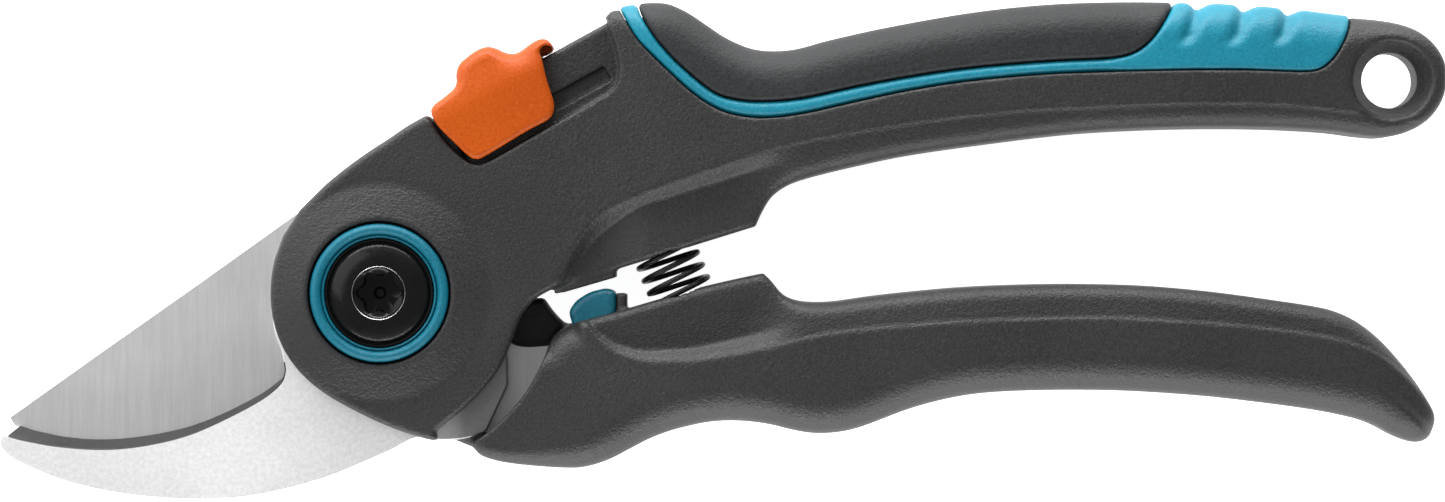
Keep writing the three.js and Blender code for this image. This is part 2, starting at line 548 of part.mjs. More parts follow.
function lockSlider() {
  const rise = RIDGE_THICKNESS / 2 + FIT;
  const reach = rise + LOCK_WALL;
  const side = [
    [LOCK_FRONT + 3.6, LEG_FOOT], [LOCK_BACK - 2, LEG_FOOT + 0.3], [LOCK_BACK - 0.6, 12.5], [LOCK_BACK, 15],
    [LOCK_BACK + 0.8, CROWN_HEIGHT], [LOCK_BACK + 3.1, CROWN_HEIGHT], [LOCK_BACK + 3.2, 21.2],
    [LOCK_BACK + 2.3, 22.4], [LOCK_BACK - 1.4, 22.4], [LOCK_BACK - 3.4, 23.2], [LOCK_BACK - 4.8, 25.1],
    [LOCK_BACK - 6, 25.7], [LOCK_FRONT + 7.8, 25.5], [LOCK_FRONT + 6.5, 24.6], [LOCK_FRONT + 5.6, 22.8],
    [LOCK_FRONT + 4.4, 22.1], [LOCK_FRONT + 1.2, 21.6], [LOCK_FRONT, 20.8], [LOCK_FRONT + 0.1, 18.5],
    [LOCK_FRONT + 1.3, 14.5], [LOCK_FRONT + 2.4, 11.8],
  ];
  const inside = [[10, 0], [60, 0], [60, CROWN_HEIGHT], [10, CROWN_HEIGHT]];
  const rib = [[23, 12.2], [37.6, 12.2], [37.6, 13.6], [23, 13.6]].map(onRidge);
  const head = [[28 - FIT, 19], [33 + FIT, 19], [33 + FIT, 21.2], [28 - FIT, 21.2]];
  const grooveFloor = RIDGE_THICKNESS / 2 - GROOVE_DEPTH + FIT;
  return plate(side.map(onRidge), MID - reach, MID + reach)
    .subtract(plate(inside.map(onRidge), MID - rise, MID + rise))
    .add(plate(rib, MID + grooveFloor, MID + rise + 0.5))
    .add(plate(rib, MID - rise - 0.5, MID - grooveFloor))
    .subtract(plate(head.map(onRidge), CATCH_BOTTOM - FIT, CATCH_TOP + FIT));
}

const lockCatch = () => plate(CATCH_OUTLINE.map(onRidge), CATCH_BOTTOM, CATCH_TOP);

function lockDetentSpring() {
  const strip = [[24, 1.3], [40.8, 1.3], [40.8, 1.65], [33, 1.65], [32, 2.05], [31, 1.65], [24, 1.65]];
  return plate(strip.map(onRidge), CATCH_BOTTOM, CATCH_TOP);
}

// ---- Assembly ----
const finish = (color, roughness, metalness = 0) =>
  new THREE.MeshStandardMaterial({ color, roughness, metalness });
const HARD_GREY = finish(0x3c3c40, 0.55);
const SOFT_GREY = finish(0x3f4145, 0.75);
const TEAL = finish(0x22839b, 0.6);
const ORANGE = finish(0xd0602a, 0.45);
const GROUND_STEEL = finish(0xbdbdbd, 0.4, 0.9);
const PALE_STEEL = finish(0xe4e4e4, 0.45, 0.8);
const BLACK_STEEL = finish(0x1c1c1e, 0.25, 0.6);
const PLAIN_STEEL = finish(0x9a9a9c, 0.4, 0.9);

function piece(name, body, material) {
  const found = body.getMesh();
  const geometry = new THREE.BufferGeometry();
  const stride = found.numProp;
  const positions = new Float32Array((found.vertProperties.length / stride) * 3);
  for (let i = 0; i < positions.length / 3; i++) {
    for (let k = 0; k < 3; k++) positions[i * 3 + k] = found.vertProperties[i * stride + k];
  }
  geometry.setAttribute("position", new THREE.BufferAttribute(positions, 3));
  geometry.setIndex(new THREE.BufferAttribute(new Uint32Array(found.triVerts), 1));
  geometry.computeVertexNormals();
  const mesh = new THREE.Mesh(geometry, material);
  mesh.name = name;
  return mesh;
}

const upperHandle = new THREE.Group();
upperHandle.add(
  piece("upper_handle_body", upperHandleBody(), HARD_GREY),
  piece("counter_blade", counterBlade(), PALE_STEEL),
  piece("grip_inlay", gripInlay(), TEAL),
  piece("grip_pad", gripPad(), SOFT_GREY),
  piece("pivot_bolt", pivotBolt(), BLACK_STEEL),
  piece("pivot_cup_washer", pivotCupWasher(), BLACK_STEEL),
  piece("front_accent_ring", frontAccentRing(), TEAL),
  piece("pivot_bush", pivotBush(), PLAIN_STEEL),
  piece("spring_washer", springWasher(), PLAIN_STEEL),
  piece("pivot_nut", pivotNut(), BLACK_STEEL),
  piece("lock_detent_spring", lockDetentSpring(), PLAIN_STEEL),
);

const lowerHandle = new THREE.Group();
lowerHandle.add(
  piece("lower_handle_body", lowerHandleBody(), HARD_GREY),
  piece("cutting_blade", cuttingBlade(), GROUND_STEEL),
  piece("rear_accent_ring", rearAccentRing(), TEAL),
  piece("stop_buffer", stopBuffer(), TEAL),
  piece("return_spring", returnSpring(), BLACK_STEEL),
);

const lock = new THREE.Group();
lock.add(piece("lock_slider", lockSlider(), ORANGE), piece("lock_catch", lockCatch(), PLAIN_STEEL));

const pruner = new THREE.Group();
pruner.add(upperHandle, lowerHandle, lock);
export default pruner;
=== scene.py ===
import math

import bmesh
import bpy
import numpy as np
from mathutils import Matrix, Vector


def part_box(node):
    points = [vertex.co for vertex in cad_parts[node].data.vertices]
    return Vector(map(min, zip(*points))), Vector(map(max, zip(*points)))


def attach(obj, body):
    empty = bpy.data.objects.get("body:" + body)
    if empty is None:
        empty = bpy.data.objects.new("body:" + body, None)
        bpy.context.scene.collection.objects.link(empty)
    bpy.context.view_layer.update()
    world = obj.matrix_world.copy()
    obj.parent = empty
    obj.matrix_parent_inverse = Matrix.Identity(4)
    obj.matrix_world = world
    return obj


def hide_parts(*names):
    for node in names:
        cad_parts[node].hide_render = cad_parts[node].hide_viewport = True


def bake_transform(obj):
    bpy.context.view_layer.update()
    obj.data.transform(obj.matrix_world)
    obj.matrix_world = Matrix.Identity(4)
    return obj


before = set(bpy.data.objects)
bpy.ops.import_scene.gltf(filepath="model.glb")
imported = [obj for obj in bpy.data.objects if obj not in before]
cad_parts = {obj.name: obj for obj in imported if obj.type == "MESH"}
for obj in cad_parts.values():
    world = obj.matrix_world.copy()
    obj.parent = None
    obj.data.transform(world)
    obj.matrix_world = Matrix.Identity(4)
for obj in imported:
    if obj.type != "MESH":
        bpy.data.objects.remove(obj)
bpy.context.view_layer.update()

# Shapes are worked out in millimetres in the part's frame and turned into metres when a mesh is made.
MM = 0.001
# Steps of the grids that the moulded pieces are worked out on.
FINE = 0.42
COARSE = 0.85


# -------------------- heights, read from the frame
def top_of(node):
    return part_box(node)[1].z / MM


def bottom_of(node):
    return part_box(node)[0].z / MM


BLADE_TOP = top_of("cutting_blade")
BLADE_BOTTOM = bottom_of("cutting_blade")
HOOK_BOTTOM = bottom_of("counter_blade")
HOOK_TOP = top_of("counter_blade")
MID = (BLADE_TOP + HOOK_BOTTOM) / 2
GAP = HOOK_BOTTOM - BLADE_TOP
CHEEK_BOTTOM = HOOK_TOP + GAP
REAR_CHEEK_TOP = BLADE_BOTTOM - GAP

# -------------------- sizes shared by several pieces
NECK = 7.05             # half thickness of the neck and of the two cheeks
BOSS_RISE = 1.8         # how far the round boss stands in front of the cheek
BOSS_TOP = 11.6         # radius where the round boss starts to fall away
BOSS_SLOPE = 4.9        # width of its flank
BOSS_END = 16.7         # radius where it is cut off
BORE_RADIUS = 11.05     # counterbore that holds a teal ring, at each end of the pivot
BORE_STEP = 0.45        # the front bore ends this far inside the cheek's face, the rear one this far outside
PIVOT_RADIUS = 5.8      # hole through both cheeks
CHANNEL_HALF = 4.9      # half thickness of the ridge that the lock slides on
SOFT_WALL = 2.2         # depth of the soft layers' seat
SOFT_FIT = 0.25         # room between a soft layer and the core under it
SEAM = 0.07             # how far each soft layer stays inside its outline
SEAM_EDGE = 0.04        # how far the hard handle stays outside it
FIT = 0.3               # clearance round the tangs


# -------------------- plane curves
def curve(points, steps=6):
    """A smooth line through the points."""
    p = np.array(points, float)
    p = np.vstack([2 * p[0] - p[1], p, 2 * p[-1] - p[-2]])
    t = np.linspace(0, 1, steps, endpoint=False)[:, None]
    out = []
    for a, b, c, d in zip(p[:-3], p[1:-2], p[2:-1], p[3:]):
        bend = (2 * a - 5 * b + 4 * c - d) * t**2 + (3 * b - 3 * c + d - a) * t**3
        out.append(b + 0.5 * ((c - a) * t + bend))
    return np.vstack(out + [p[-2:-1]])


def arc(radius, start, end, steps=24, centre=(0, 0)):
    a = np.radians(np.linspace(start, end, steps + 1))
    return np.column_stack([centre[0] + radius * np.cos(a), centre[1] + radius * np.sin(a)])


def outline(*parts):
    return np.vstack([np.array(p, float).reshape(-1, 2) for p in parts])


def moved_in(points, distance):
    """An anticlockwise outline moved inwards."""
    run = np.roll(points, -1, 0) - np.roll(points, 1, 0)
    run /= np.maximum(np.linalg.norm(run, axis=1, keepdims=True), 1e-9)
    return points + distance * np.column_stack([-run[:, 1], run[:, 0]])


def rounded_polygon(points, radius, steps=5):
    """A polygon whose corners are replaced by arcs, given as quadratic bends."""
    p = np.array(points, float)
    out = []
    for before, corner, after in zip(np.roll(p, 1, 0), p, np.roll(p, -1, 0)):
        to_before, to_after = before - corner, after - corner
        cut = min(radius, 0.45 * np.linalg.norm(to_before), 0.45 * np.linalg.norm(to_after))
        start = corner + to_before / np.linalg.norm(to_before) * cut
        end = corner + to_after / np.linalg.norm(to_after) * cut
        for t in np.linspace(0, 1, steps + 1):
            out.append((1 - t) ** 2 * start + 2 * t * (1 - t) * corner + t**2 * end)
    return np.array(out)


# -------------------- fields
class Field:
    """Values on a plane grid, read anywhere by bilinear interpolation."""

    def __init__(self, xs, ys, values):
        self.xs, self.ys, self.values = xs, ys, values

    def __call__(self, x, y):
        i = np.clip(np.searchsorted(self.xs, x, side="right") - 1, 0, len(self.xs) - 2)
        j = np.clip(np.searchsorted(self.ys, y, side="right") - 1, 0, len(self.ys) - 2)
        s = np.clip((x - self.xs[i]) / (self.xs[i + 1] - self.xs[i]), 0, 1)
        t = np.clip((y - self.ys[j]) / (self.ys[j + 1] - self.ys[j]), 0, 1)
        v = self.values
        low = v[i, j] * (1 - s) + v[i + 1, j] * s
        high = v[i, j + 1] * (1 - s) + v[i + 1, j + 1] * s
        return low * (1 - t) + high * t


def depth_inside(points, step=0.25, margin=3.0):
    """The distance to a closed outline, positive inside it."""
    low, high = points.min(0) - margin, points.max(0) + margin
    xs = np.arange(low[0], high[0] + step, step)
    ys = np.arange(low[1], high[1] + step, step)
    x = xs[:, None].astype(np.float32)
    y = ys[None, :].astype(np.float32)
    nearest = np.full((len(xs), len(ys)), 1e9, np.float32)
    inside = np.zeros((len(xs), len(ys)), bool)
    for (ax, ay), (bx, by) in zip(points.astype(np.float32), np.roll(points, -1, 0).astype(np.float32)):
        dx, dy = bx - ax, by - ay
        span = dx * dx + dy * dy
        if span < 1e-9:
            continue
        t = np.clip(((x - ax) * dx + (y - ay) * dy) / span, 0, 1)
        np.minimum(nearest, (x - ax - t * dx) ** 2 + (y - ay - t * dy) ** 2, out=nearest)
        if ay != by:
            inside ^= ((ay > y) != (by > y)) & (x < dx * (y - ay) / dy + ax)
    distance = np.sqrt(nearest)
    return Field(xs, ys, np.where(inside, distance, -distance))


def meet(a, b, r):
    """What two solids share, its edge rounded to radius r. Solids are negative inside."""
    return np.minimum(np.maximum(a, b), -r) + np.hypot(np.maximum(a + r, 0), np.maximum(b + r, 0))


def join(a, b, r):
    return -meet(-a, -b, r)


def cut(a, b, r):
    return meet(a, -b, r)


def ease(t):
    t = np.clip(t, 0, 1)
    return t * t * (3 - 2 * t)


def along(xs, values):
    """A smooth curve of values along x, which doesn't overshoot between its points."""
    xs, values = np.array(xs, float), np.array(values, float)
    step = np.diff(xs)
    rise = np.diff(values) / step
    together = rise[:-1] * rise[1:]
    flat = np.zeros_like(together)  # level where the values turn back
    inner = np.divide(2 * together, rise[:-1] + rise[1:], out=flat, where=together > 0)
    slope = np.concatenate([rise[:1], inner, rise[-1:]])

    def line(x):
        i = np.clip(np.searchsorted(xs, x, side="right") - 1, 0, len(step) - 1)
        t = np.clip((x - xs[i]) / step[i], 0, 1)
        bend = (1 - t) * slope[i] - t * slope[i + 1]
        return values[i] + (values[i + 1] - values[i]) * t * t * (3 - 2 * t) + t * (1 - t) * step[i] * bend

    return line


# -------------------- meshes
def steps_between(*stops):
    """Grid lines: stops are (from, step) pairs, and the last one is where the grid ends."""
    lines = []
    for (start, step), (end, _) in zip(stops[:-1], stops[1:]):
        count = max(1, round((end - start) / step))
        lines.append(np.linspace(start, end, count, endpoint=False))
    return np.concatenate(lines + [[stops[-1][0]]])


def surface(name, shape, xs, ys, zs, to_frame=None):
    """The zero surface of a shape as a mesh, with one vertex in each grid cell that it crosses."""
    values = np.asarray(shape(xs[:, None, None], ys[None, :, None], zs[None, None, :]), np.float32)
    values = np.broadcast_to(values, (len(xs), len(ys), len(zs)))
    inside = values < 0
    cells = tuple(n - 1 for n in values.shape)
    total = np.zeros(cells + (3,), np.float32)
    count = np.zeros(cells, np.float32)
    lines = (xs, ys, zs)
    crossings = []
    for axis in range(3):
        low = [slice(None)] * 3
        high = [slice(None)] * 3
        low[axis], high[axis] = slice(None, -1), slice(1, None)
        a, b = values[tuple(low)], values[tuple(high)]
        crossed = np.argwhere(inside[tuple(low)] != inside[tuple(high)])
        i, j, k = crossed.T
        share = a[i, j, k] / (a[i, j, k] - b[i, j, k])
        point = np.column_stack([lines[d][crossed[:, d]] for d in range(3)])
        along_axis = lines[axis]
        point[:, axis] += share * (along_axis[crossed[:, axis] + 1] - along_axis[crossed[:, axis]])
        crossings.append((crossed, inside[tuple(low)][i, j, k]))
        u, v = [d for d in range(3) if d != axis]
        for du in (0, 1):
            for dv in (0, 1):
                cell = crossed.copy()
                cell[:, u] -= du
                cell[:, v] -= dv
                fits = ((cell >= 0) & (cell < np.array(cells))).all(1)
                index = tuple(cell[fits].T)
                np.add.at(total, index, point[fits])
                np.add.at(count, index, 1)
    used = count > 0
    number = np.full(cells, -1, np.int64)
    number[used] = np.arange(used.sum())
    points = total[used] / count[used][:, None]
    quads = []
    for axis, (crossed, starts_inside) in enumerate(crossings):
        u, v = (axis + 1) % 3, (axis + 2) % 3
        whole = (crossed[:, u] > 0) & (crossed[:, v] > 0)
        whole &= (crossed[:, u] < cells[u]) & (crossed[:, v] < cells[v])
        crossed, starts_inside = crossed[whole], starts_inside[whole]
        ring = []
        for du, dv in ((0, 0), (1, 0), (1, 1), (0, 1)):
            cell = crossed.copy()
            cell[:, u] -= du
            cell[:, v] -= dv
            ring.append(number[tuple(cell.T)])
        ring = np.column_stack(ring)
        ring[~starts_inside] = ring[~starts_inside][:, ::-1]
        quads.append(ring)
    points = drawn_on(shape, points.astype(float))
    if to_frame is not None:
        points = to_frame(points)
    return mesh_object(name, points, np.vstack(quads))


def drawn_on(shape, points, rounds=3, probe=0.04, most=0.25):
    """The points moved along the shape's slope until they lie on its zero surface."""
    for _ in range(rounds):
        x, y, z = points.T
        here = shape(x, y, z)
        slope = np.column_stack([
            shape(x + probe, y, z) - shape(x - probe, y, z),
            shape(x, y + probe, z) - shape(x, y - probe, z),
            shape(x, y, z + probe) - shape(x, y, z - probe),
        ]) / (2 * probe)
        size = np.maximum((slope**2).sum(1), 0.05)
        move = -(here / size)[:, None] * slope
        length = np.linalg.norm(move, axis=1, keepdims=True)
        points = points + move * np.minimum(1, most / np.maximum(length, 1e-9))
    return points


def mesh_object(name, points, faces):
    """A smooth-shaded object. Faces are an array of quads, or a list of index lists."""
    mesh = bpy.data.meshes.new(name)
    if isinstance(faces, np.ndarray):
        mesh.vertices.add(len(points))
        mesh.vertices.foreach_set("co", (points * MM).astype(np.float32).ravel())
        mesh.loops.add(faces.size)
        mesh.loops.foreach_set("vertex_index", faces.astype(np.int32).ravel())
        mesh.polygons.add(len(faces))
        mesh.polygons.foreach_set("loop_start", np.arange(0, faces.size, faces.shape[1], dtype=np.int32))
        mesh.update(calc_edges=True)
        mesh.validate()
    else:
        mesh.from_pydata([tuple(p * MM) for p in np.asarray(points, float)], [], faces)
    mesh.polygons.foreach_set("use_smooth", [True] * len(mesh.polygons))
    mesh.update()
    obj = bpy.data.objects.new(name, mesh)
    bpy.context.collection.objects.link(obj)
    return obj


def sharpened(obj, degrees=32):
    """Edges sharper than the angle stay crisp in the shading."""
    mesh = obj.data
    bm = bmesh.new()
    bm.from_mesh(mesh)
    bmesh.ops.recalc_face_normals(bm, faces=bm.faces)
    for edge in bm.edges:
        edge.smooth = len(edge.link_faces) == 2 and edge.calc_face_angle() < math.radians(degrees)
    bm.to_mesh(mesh)
    bm.free()
    mesh.update()
    return obj


def walls(a, b, count):
    """The quads between two closed rings of points, which start at a and at b."""
    return [[a + i, a + (i + 1) % count, b + (i + 1) % count, b + i] for i in range(count)]


def turned(name, profile, segments=144):
    """A turned piece about the pivot. The profile lists (radius, height) or (radius, height, lobe share)."""
    points, faces = [], []
    angles = np.linspace(0, 2 * math.pi, segments, endpoint=False)
    for row in profile:
        share = row[2] if len(row) > 2 else 0
        radius = row[0] * (1 + share * (np.cos(6 * angles) - 1))
        heights = np.full(segments, row[1])
        points.append(np.column_stack([radius * np.cos(angles), radius * np.sin(angles), heights]))
    rows = len(profile)
    closed = profile[0][0] > 0.01
    for r in range(rows if closed else rows - 1):
        faces += walls(r * segments, ((r + 1) % rows) * segments, segments)
    obj = mesh_object(name, np.vstack(points), faces)
    bm = bmesh.new()
    bm.from_mesh(obj.data)
    bmesh.ops.remove_doubles(bm, verts=bm.verts, dist=1e-7)
    bm.to_mesh(obj.data)
    bm.free()
    return sharpened(obj)


def plate(name, levels):
    """A flat piece through levels of (height, anticlockwise outline), all outlines alike in count."""
    points, faces = [], []
    count = len(levels[0][1])
    for z, line in levels:
        points.append(np.column_stack([line, np.full(count, z)]))
    for r in range(len(levels) - 1):
        faces += walls(r * count, (r + 1) * count, count)
    faces.append(list(range(count))[::-1])
    faces.append([(len(levels) - 1) * count + i for i in range(count)])
    return sharpened(mesh_object(name, np.vstack(points), faces), 14)


# -------------------- outlines of the upper handle
RIDGE = math.radians(28.8)
RIDGE_HEIGHT = 19.85


def ridge_u(x, y):
    return x * math.cos(RIDGE) + y * math.sin(RIDGE)


def ridge_v(x, y):
    return -x * math.sin(RIDGE) + y * math.cos(RIDGE)


def from_ridge(u, v):
    return (u * math.cos(RIDGE) - v * math.sin(RIDGE), u * math.sin(RIDGE) + v * math.cos(RIDGE))


UPPER = outline(
    curve([(-12.7, 13), (-10.6, 15.1), (-8.3, 17.3), (-5.2, 19.8), (-2, 22.1), (1.1, 24.1), (4.2, 26.2),
           (7.6, 28.1)]),
    curve([(35, 43.3), (35.6, 43.9), (36.5, 44.15), (37.6, 44.5), (39.8, 44.95), (42.3, 45.15), (44.6, 44.95),
           (47.1, 43.9), (49.5, 42.4), (52.7, 40.2), (54.9, 39), (57.5, 38), (60.5, 37.6), (64.5, 37.9),
           (69.8, 39.3), (79.2, 41.35), (91.7, 43.5), (103, 44.7), (113.6, 45.1), (122.7, 45.05), (132, 44.8),
           (141, 44.15), (150.5, 43.05), (155, 42.65), (158.6, 41.95), (161.6, 40.6), (164, 38.3),
           (165.4, 35.4),
           (165.5, 31.9), (164.5, 28.9), (162.4, 26.4), (159.4, 24.7), (156, 23.9), (152.4, 24.1),
           (147, 24.8),
           (138, 25.3), (128, 25.4), (118, 25.15), (107.3, 24.5), (94.8, 23), (82.3, 21.2), (73, 19.25),
           (66.6, 17.65), (63.4, 16.5), (61, 14.8), (59.5, 12.5), (58.4, 10.1)]),
    curve([(29.6, 1.2), (27.8, 0.7), (25.9, -0.1), (24, -1.3), (22.5, -3), (21.5, -5), (20.4, -8),
           (18.7, -11.7), (16.4, -14.8), (13.4, -17.9), (10.6, -20.2), (8.9, -21.6)]),
    curve([(9.2, -22.7), (8.4, -23.15), (5.5, -22.5), (1.5, -21.1), (-2.3, -19.4), (-6.9, -17),
           (-10.3, -14.7), (-13.1, -12), (-15.3, -8.7), (-16.8, -4.6), (-17.3, 0), (-16.8, 4.6), (-15.3, 9)]),
)
UPPER_CREASE = along(
    [20, 27.5, 30.6, 33.1, 35.7, 40.3, 45.7, 52.9, 60, 67.5, 77.4, 89.4, 101.3, 112, 125, 136, 148, 154,
     160, 170],
    [-6, 3.5, 8.4, 11.6, 13.6, 15.7, 17.7, 20.2, 22.5, 24.1, 25.8, 27.5, 28.6, 29.1, 29.6, 29.6, 28.6, 27.8,
     27, 26],
)
UPPER_SWELL = along(
    [-30, 20, 34, 45, 60, 75, 92, 108, 122, 136, 148, 157, 162, 170],
    [0, 0, 0.3, 1.0, 1.6, 2.3, 3.05, 3.4, 3.35, 2.75, 1.9, 1.1, 0.6, 0],
)
INLAY_LOW = curve([(36.6, 44.6), (37.4, 43.4), (38.6, 41.2), (40.1, 39), (42.3, 36.6), (45.1, 33.9),
                   (48.3, 31),
                   (51.4, 28.9), (54.7, 27.6), (59.5, 27.05), (65.5, 27.7), (73.4, 29.45), (81.4, 31.15),
                   (89.4, 32.45), (97.4, 33.3), (105.3, 33.85), (114, 34.15), (125.3, 34.4), (134.4, 34.4),
                   (142, 34.15), (144.9, 34.4), (146.7, 35.5), (148.2, 37.3), (149.6, 39.9), (150.8, 43.4)])
INLAY_HIGH = curve([(122.8, 44.4), (120.9, 41.3), (119.4, 39.3), (117.5, 37.6), (115.3, 36.6), (112, 36.15),
                    (105.3, 35.85), (97.4, 35.3), (89.4, 34.5), (81.4, 33.3), (73.4, 31.8), (65.5, 30.1),
                    (59.5, 29.6), (55.2, 29.9), (51.6, 31.1), (47.1, 34.7), (44.5, 37.3), (42.2, 40.1),
                    (40.6, 42.7), (39.6, 45.2)])
SKY = 60
INLAY = outline(INLAY_LOW, [(152.6, SKY), (131.5, SKY)], INLAY_HIGH, [(38.4, SKY), (35, SKY)])
SOFT = outline(INLAY_LOW, [(152.6, SKY), (35, SKY)])
PAD = outline(INLAY_HIGH[::-1], [(131.5, SKY), (38.4, SKY)])
CHANNEL = np.array([from_ridge(u, v) for u, v in outline(
    [(19.7, 40), (19.75, 18.5)],
    curve([(19.85, 17.2), (20.3, 14.8), (21, 12.6), (21.9, 10.9), (23.1, 9.95), (24.9, 9.65)]),
    curve([(45.8, 10), (47.2, 10.4), (48.6, 11.6), (49.6, 13.4), (50.3, 15.6), (50.8, 18.2), (51.1, 21)]),
    [(51.1, 40)],
)])
HANG_HOLE = (156.8, 33.0)
HANG_RADIUS = 4.3

upper_depth = depth_inside(UPPER)
inlay_depth = depth_inside(INLAY)
soft_depth = depth_inside(SOFT)
pad_depth = depth_inside(PAD)
channel_depth = depth_inside(CHANNEL)


def boss_height(x, y):
    t = np.clip((np.hypot(x, y) - BOSS_TOP) / BOSS_SLOPE, 0, 1)
    return BOSS_RISE * (0.68 * (1 - t) ** 1.3 + 0.32 * np.sqrt(1 - t * t))


CREASE_STEP = 0.42   # the small step down at each crease, and its width
CREASE_WIDTH = 0.9
SPRING_WALL = 6.1    # half thickness that the handles keep in front of the spring's pockets


def upper_half(x, y):
    """Half thickness of the upper handle: the flat face, and what falls away below the crease."""
    base = NECK + UPPER_SWELL(x)
    below = UPPER_CREASE(x) - y
    near = ease((66 - x) / 12)                    # 1 in the scoop over the spring, 0 along the grip
    wall = SPRING_WALL - 1.5 * ease((42 - x) / 8)
    scoop = np.minimum(2.8 * ease(below / 4) - 0.5 * ease((below - 5) / 8), base - wall)
    chamfer = CREASE_STEP * ease(below / CREASE_WIDTH) + 0.2 * np.maximum(below - CREASE_WIDTH, 0)
    fall = near * scoop + (1 - near) * chamfer
    fall = fall * ease((x - 25) / 7) * ease((170 - x) / 16)
    return base - fall


def upper_outer(x, y, z):
    """The upper handle with its soft layers, before anything is cut."""
    depth = upper_depth(x, y)
    outer_side = ease((y - UPPER_CREASE(x)) / 6) * ease((x - 30) / 14)
    radius = 1.5 + 4.3 * outer_side * ease((168 - x) / 14) + 1.2 * (1 - outer_side) * ease((x - 56) / 8)
    return meet(np.abs(z - MID) - upper_half(x, y), -depth, radius)


HEAD_ROOM = 18.4     # radius that the plates' round roots turn in


def rear_of_cheek(x, y, z):
    """The room behind the front cheek, where the blade and the rear cheek turn."""
    left = x + 1.6
    below = np.maximum(y - 1.6, x - 28)
    open_side = np.minimum(np.minimum(left, below), np.hypot(x, y) - HEAD_ROOM)
    return np.maximum(z - CHEEK_BOTTOM, open_side)


def beyond(value, low, high):
    """Negative between the two limits."""
    return np.maximum(low - value, value - high)


RIB_LINE = 12.9      # height of the lock's ribs and of their slots on the ridge
SLOT_HALF = 1.2      # half width of those slots
SLOT_DEPTH = 0.85
CATCH_MID = 8.85     # height of the lock catch's middle plane
CATCH_HALF = 1.25    # half thickness of the room for it


def lock_channels(x, y, z):
    """What is cut for the lock: two channels, the ridge's top, two blind slots and the catch's way."""
    across = np.abs(z - MID)
    u, v = ridge_u(x, y), ridge_v(x, y)
    channel = meet(CHANNEL_HALF - across, -channel_depth(x, y), 0.4)
    saddle = meet(RIDGE_HEIGHT - v, beyond(u, 19.7, 51.1), 0.3)
    slot = np.maximum(np.abs(v - RIB_LINE) - SLOT_HALF, beyond(u, 21.5, 47.3))
    slot = np.maximum(slot, CHANNEL_HALF - SLOT_DEPTH - across)
    catch_way = np.maximum(np.abs(z - CATCH_MID) - CATCH_HALF, beyond(u, 27.7, 41.4))
    catch_way = np.maximum(catch_way, 4 - v)
    return np.minimum(np.minimum(join(channel, saddle, 0.9), slot), catch_way)


SPRING_MID = (45.4, 2.95)                 # middle of the return spring
SPRING_ALONG = (2.2 / 5.74, -5.3 / 5.74)  # its direction, from the upper handle to the lower one
POCKET_RADIUS = 5.35
POCKET_REACH = 7.8   # from the spring's middle to the pocket's floor


def spring_pocket(x, y, z, end):
    """The round pocket that holds the spring, towards the upper handle (-1) or the lower one (1)."""
    ax, ay = SPRING_ALONG
    dx, dy = x - SPRING_MID[0], y - SPRING_MID[1]
    off = np.hypot(dx * -ay + dy * ax, z - MID)
    reach = end * (dx * ax + dy * ay)
    return np.maximum(off - POCKET_RADIUS, beyond(reach, 0, POCKET_REACH))


STOP_RIB_MID = 31.7    # the rib that the buffer meets, on the upper handle's underside
STOP_RIB_REACH = 4.8   # half its length
STOP_RIB_HALF = 1.3    # half its thickness
FLARE = 0.42           # growth of the hanging hole's radius for each millimetre outwards
FLARE_START = 3.2      # from this far off the middle plane


def off_stop_line(x, y):
    """The distance from the stop rib's middle line, which slopes with the handle's lower edge."""
    return (y - (1.2 + (x - 27.7) * 0.29)) / 1.041


def upper_handle(x, y, z):
    radius = np.hypot(x, y)
    outer = upper_outer(x, y, z)
    boss_high = MID + NECK + boss_height(x, y)
    boss = np.maximum(z - boss_high, np.maximum(radius - BOSS_END, CHEEK_BOTTOM + 1 - z))
    body = join(outer, boss, 0.35)
    body = meet(body, -upper_depth(x, y), 0.9)
    soft = np.maximum(-(soft_depth(x, y) + SEAM_EDGE), -(outer + SOFT_WALL))
    body = cut(body, soft, 0.35)
    body = cut(body, lock_channels(x, y, z), 0.4)
    rib = np.maximum(np.abs(x - STOP_RIB_MID) - STOP_RIB_REACH, np.abs(off_stop_line(x, y)) - STOP_RIB_HALF)
    rib = meet(rib, np.abs(z - MID) - 4.5, 0.7)
    body = join(body, rib, 0.6)
    body = cut(body, rear_of_cheek(x, y, z), 0.35)
    body = cut(body, np.maximum(radius - BORE_RADIUS, MID + NECK - BORE_STEP - z), 0.35)
    body = cut(body, radius - PIVOT_RADIUS, 0.1)
    body = cut(body, spring_pocket(x, y, z, -1), 0.35)
    hole = np.hypot(x - HANG_HOLE[0], y - HANG_HOLE[1])
    flare = FLARE * np.maximum(np.abs(z - MID) - FLARE_START, 0)
    return cut(body, hole - HANG_RADIUS - flare, 0.9)


# -------------------- upper handle pieces
def pad_shape(x, y, z):
    """The dark soft layer over the top of the grip."""
    outer = upper_outer(x, y, z)
    body = meet(outer, -(pad_depth(x, y) - SEAM), 0.9)
    return np.maximum(body, -(outer + SOFT_WALL - SOFT_FIT))


def inlay_shape(x, y, z):
    """The teal layer: a narrow line along the grip, and a pad with three grooves near its end."""
    outer = upper_outer(x, y, z)
    grooves = 0
    for middle in (125.4, 132.8, 139.95):
        run = x - (middle + (y - 41) * 0.42)
        grooves = grooves + 1.05 * np.exp(-(run / 1.25) ** 2) * ease((y - 37.6) / 2.4)
    line = ease((116 - x) / 5) * ease((x - 40) / 3)
    body = meet(outer + grooves, -(inlay_depth(x, y) - SEAM), 0.75 + 0.4 * line)
    return np.maximum(body, -(outer + SOFT_WALL - SOFT_FIT))


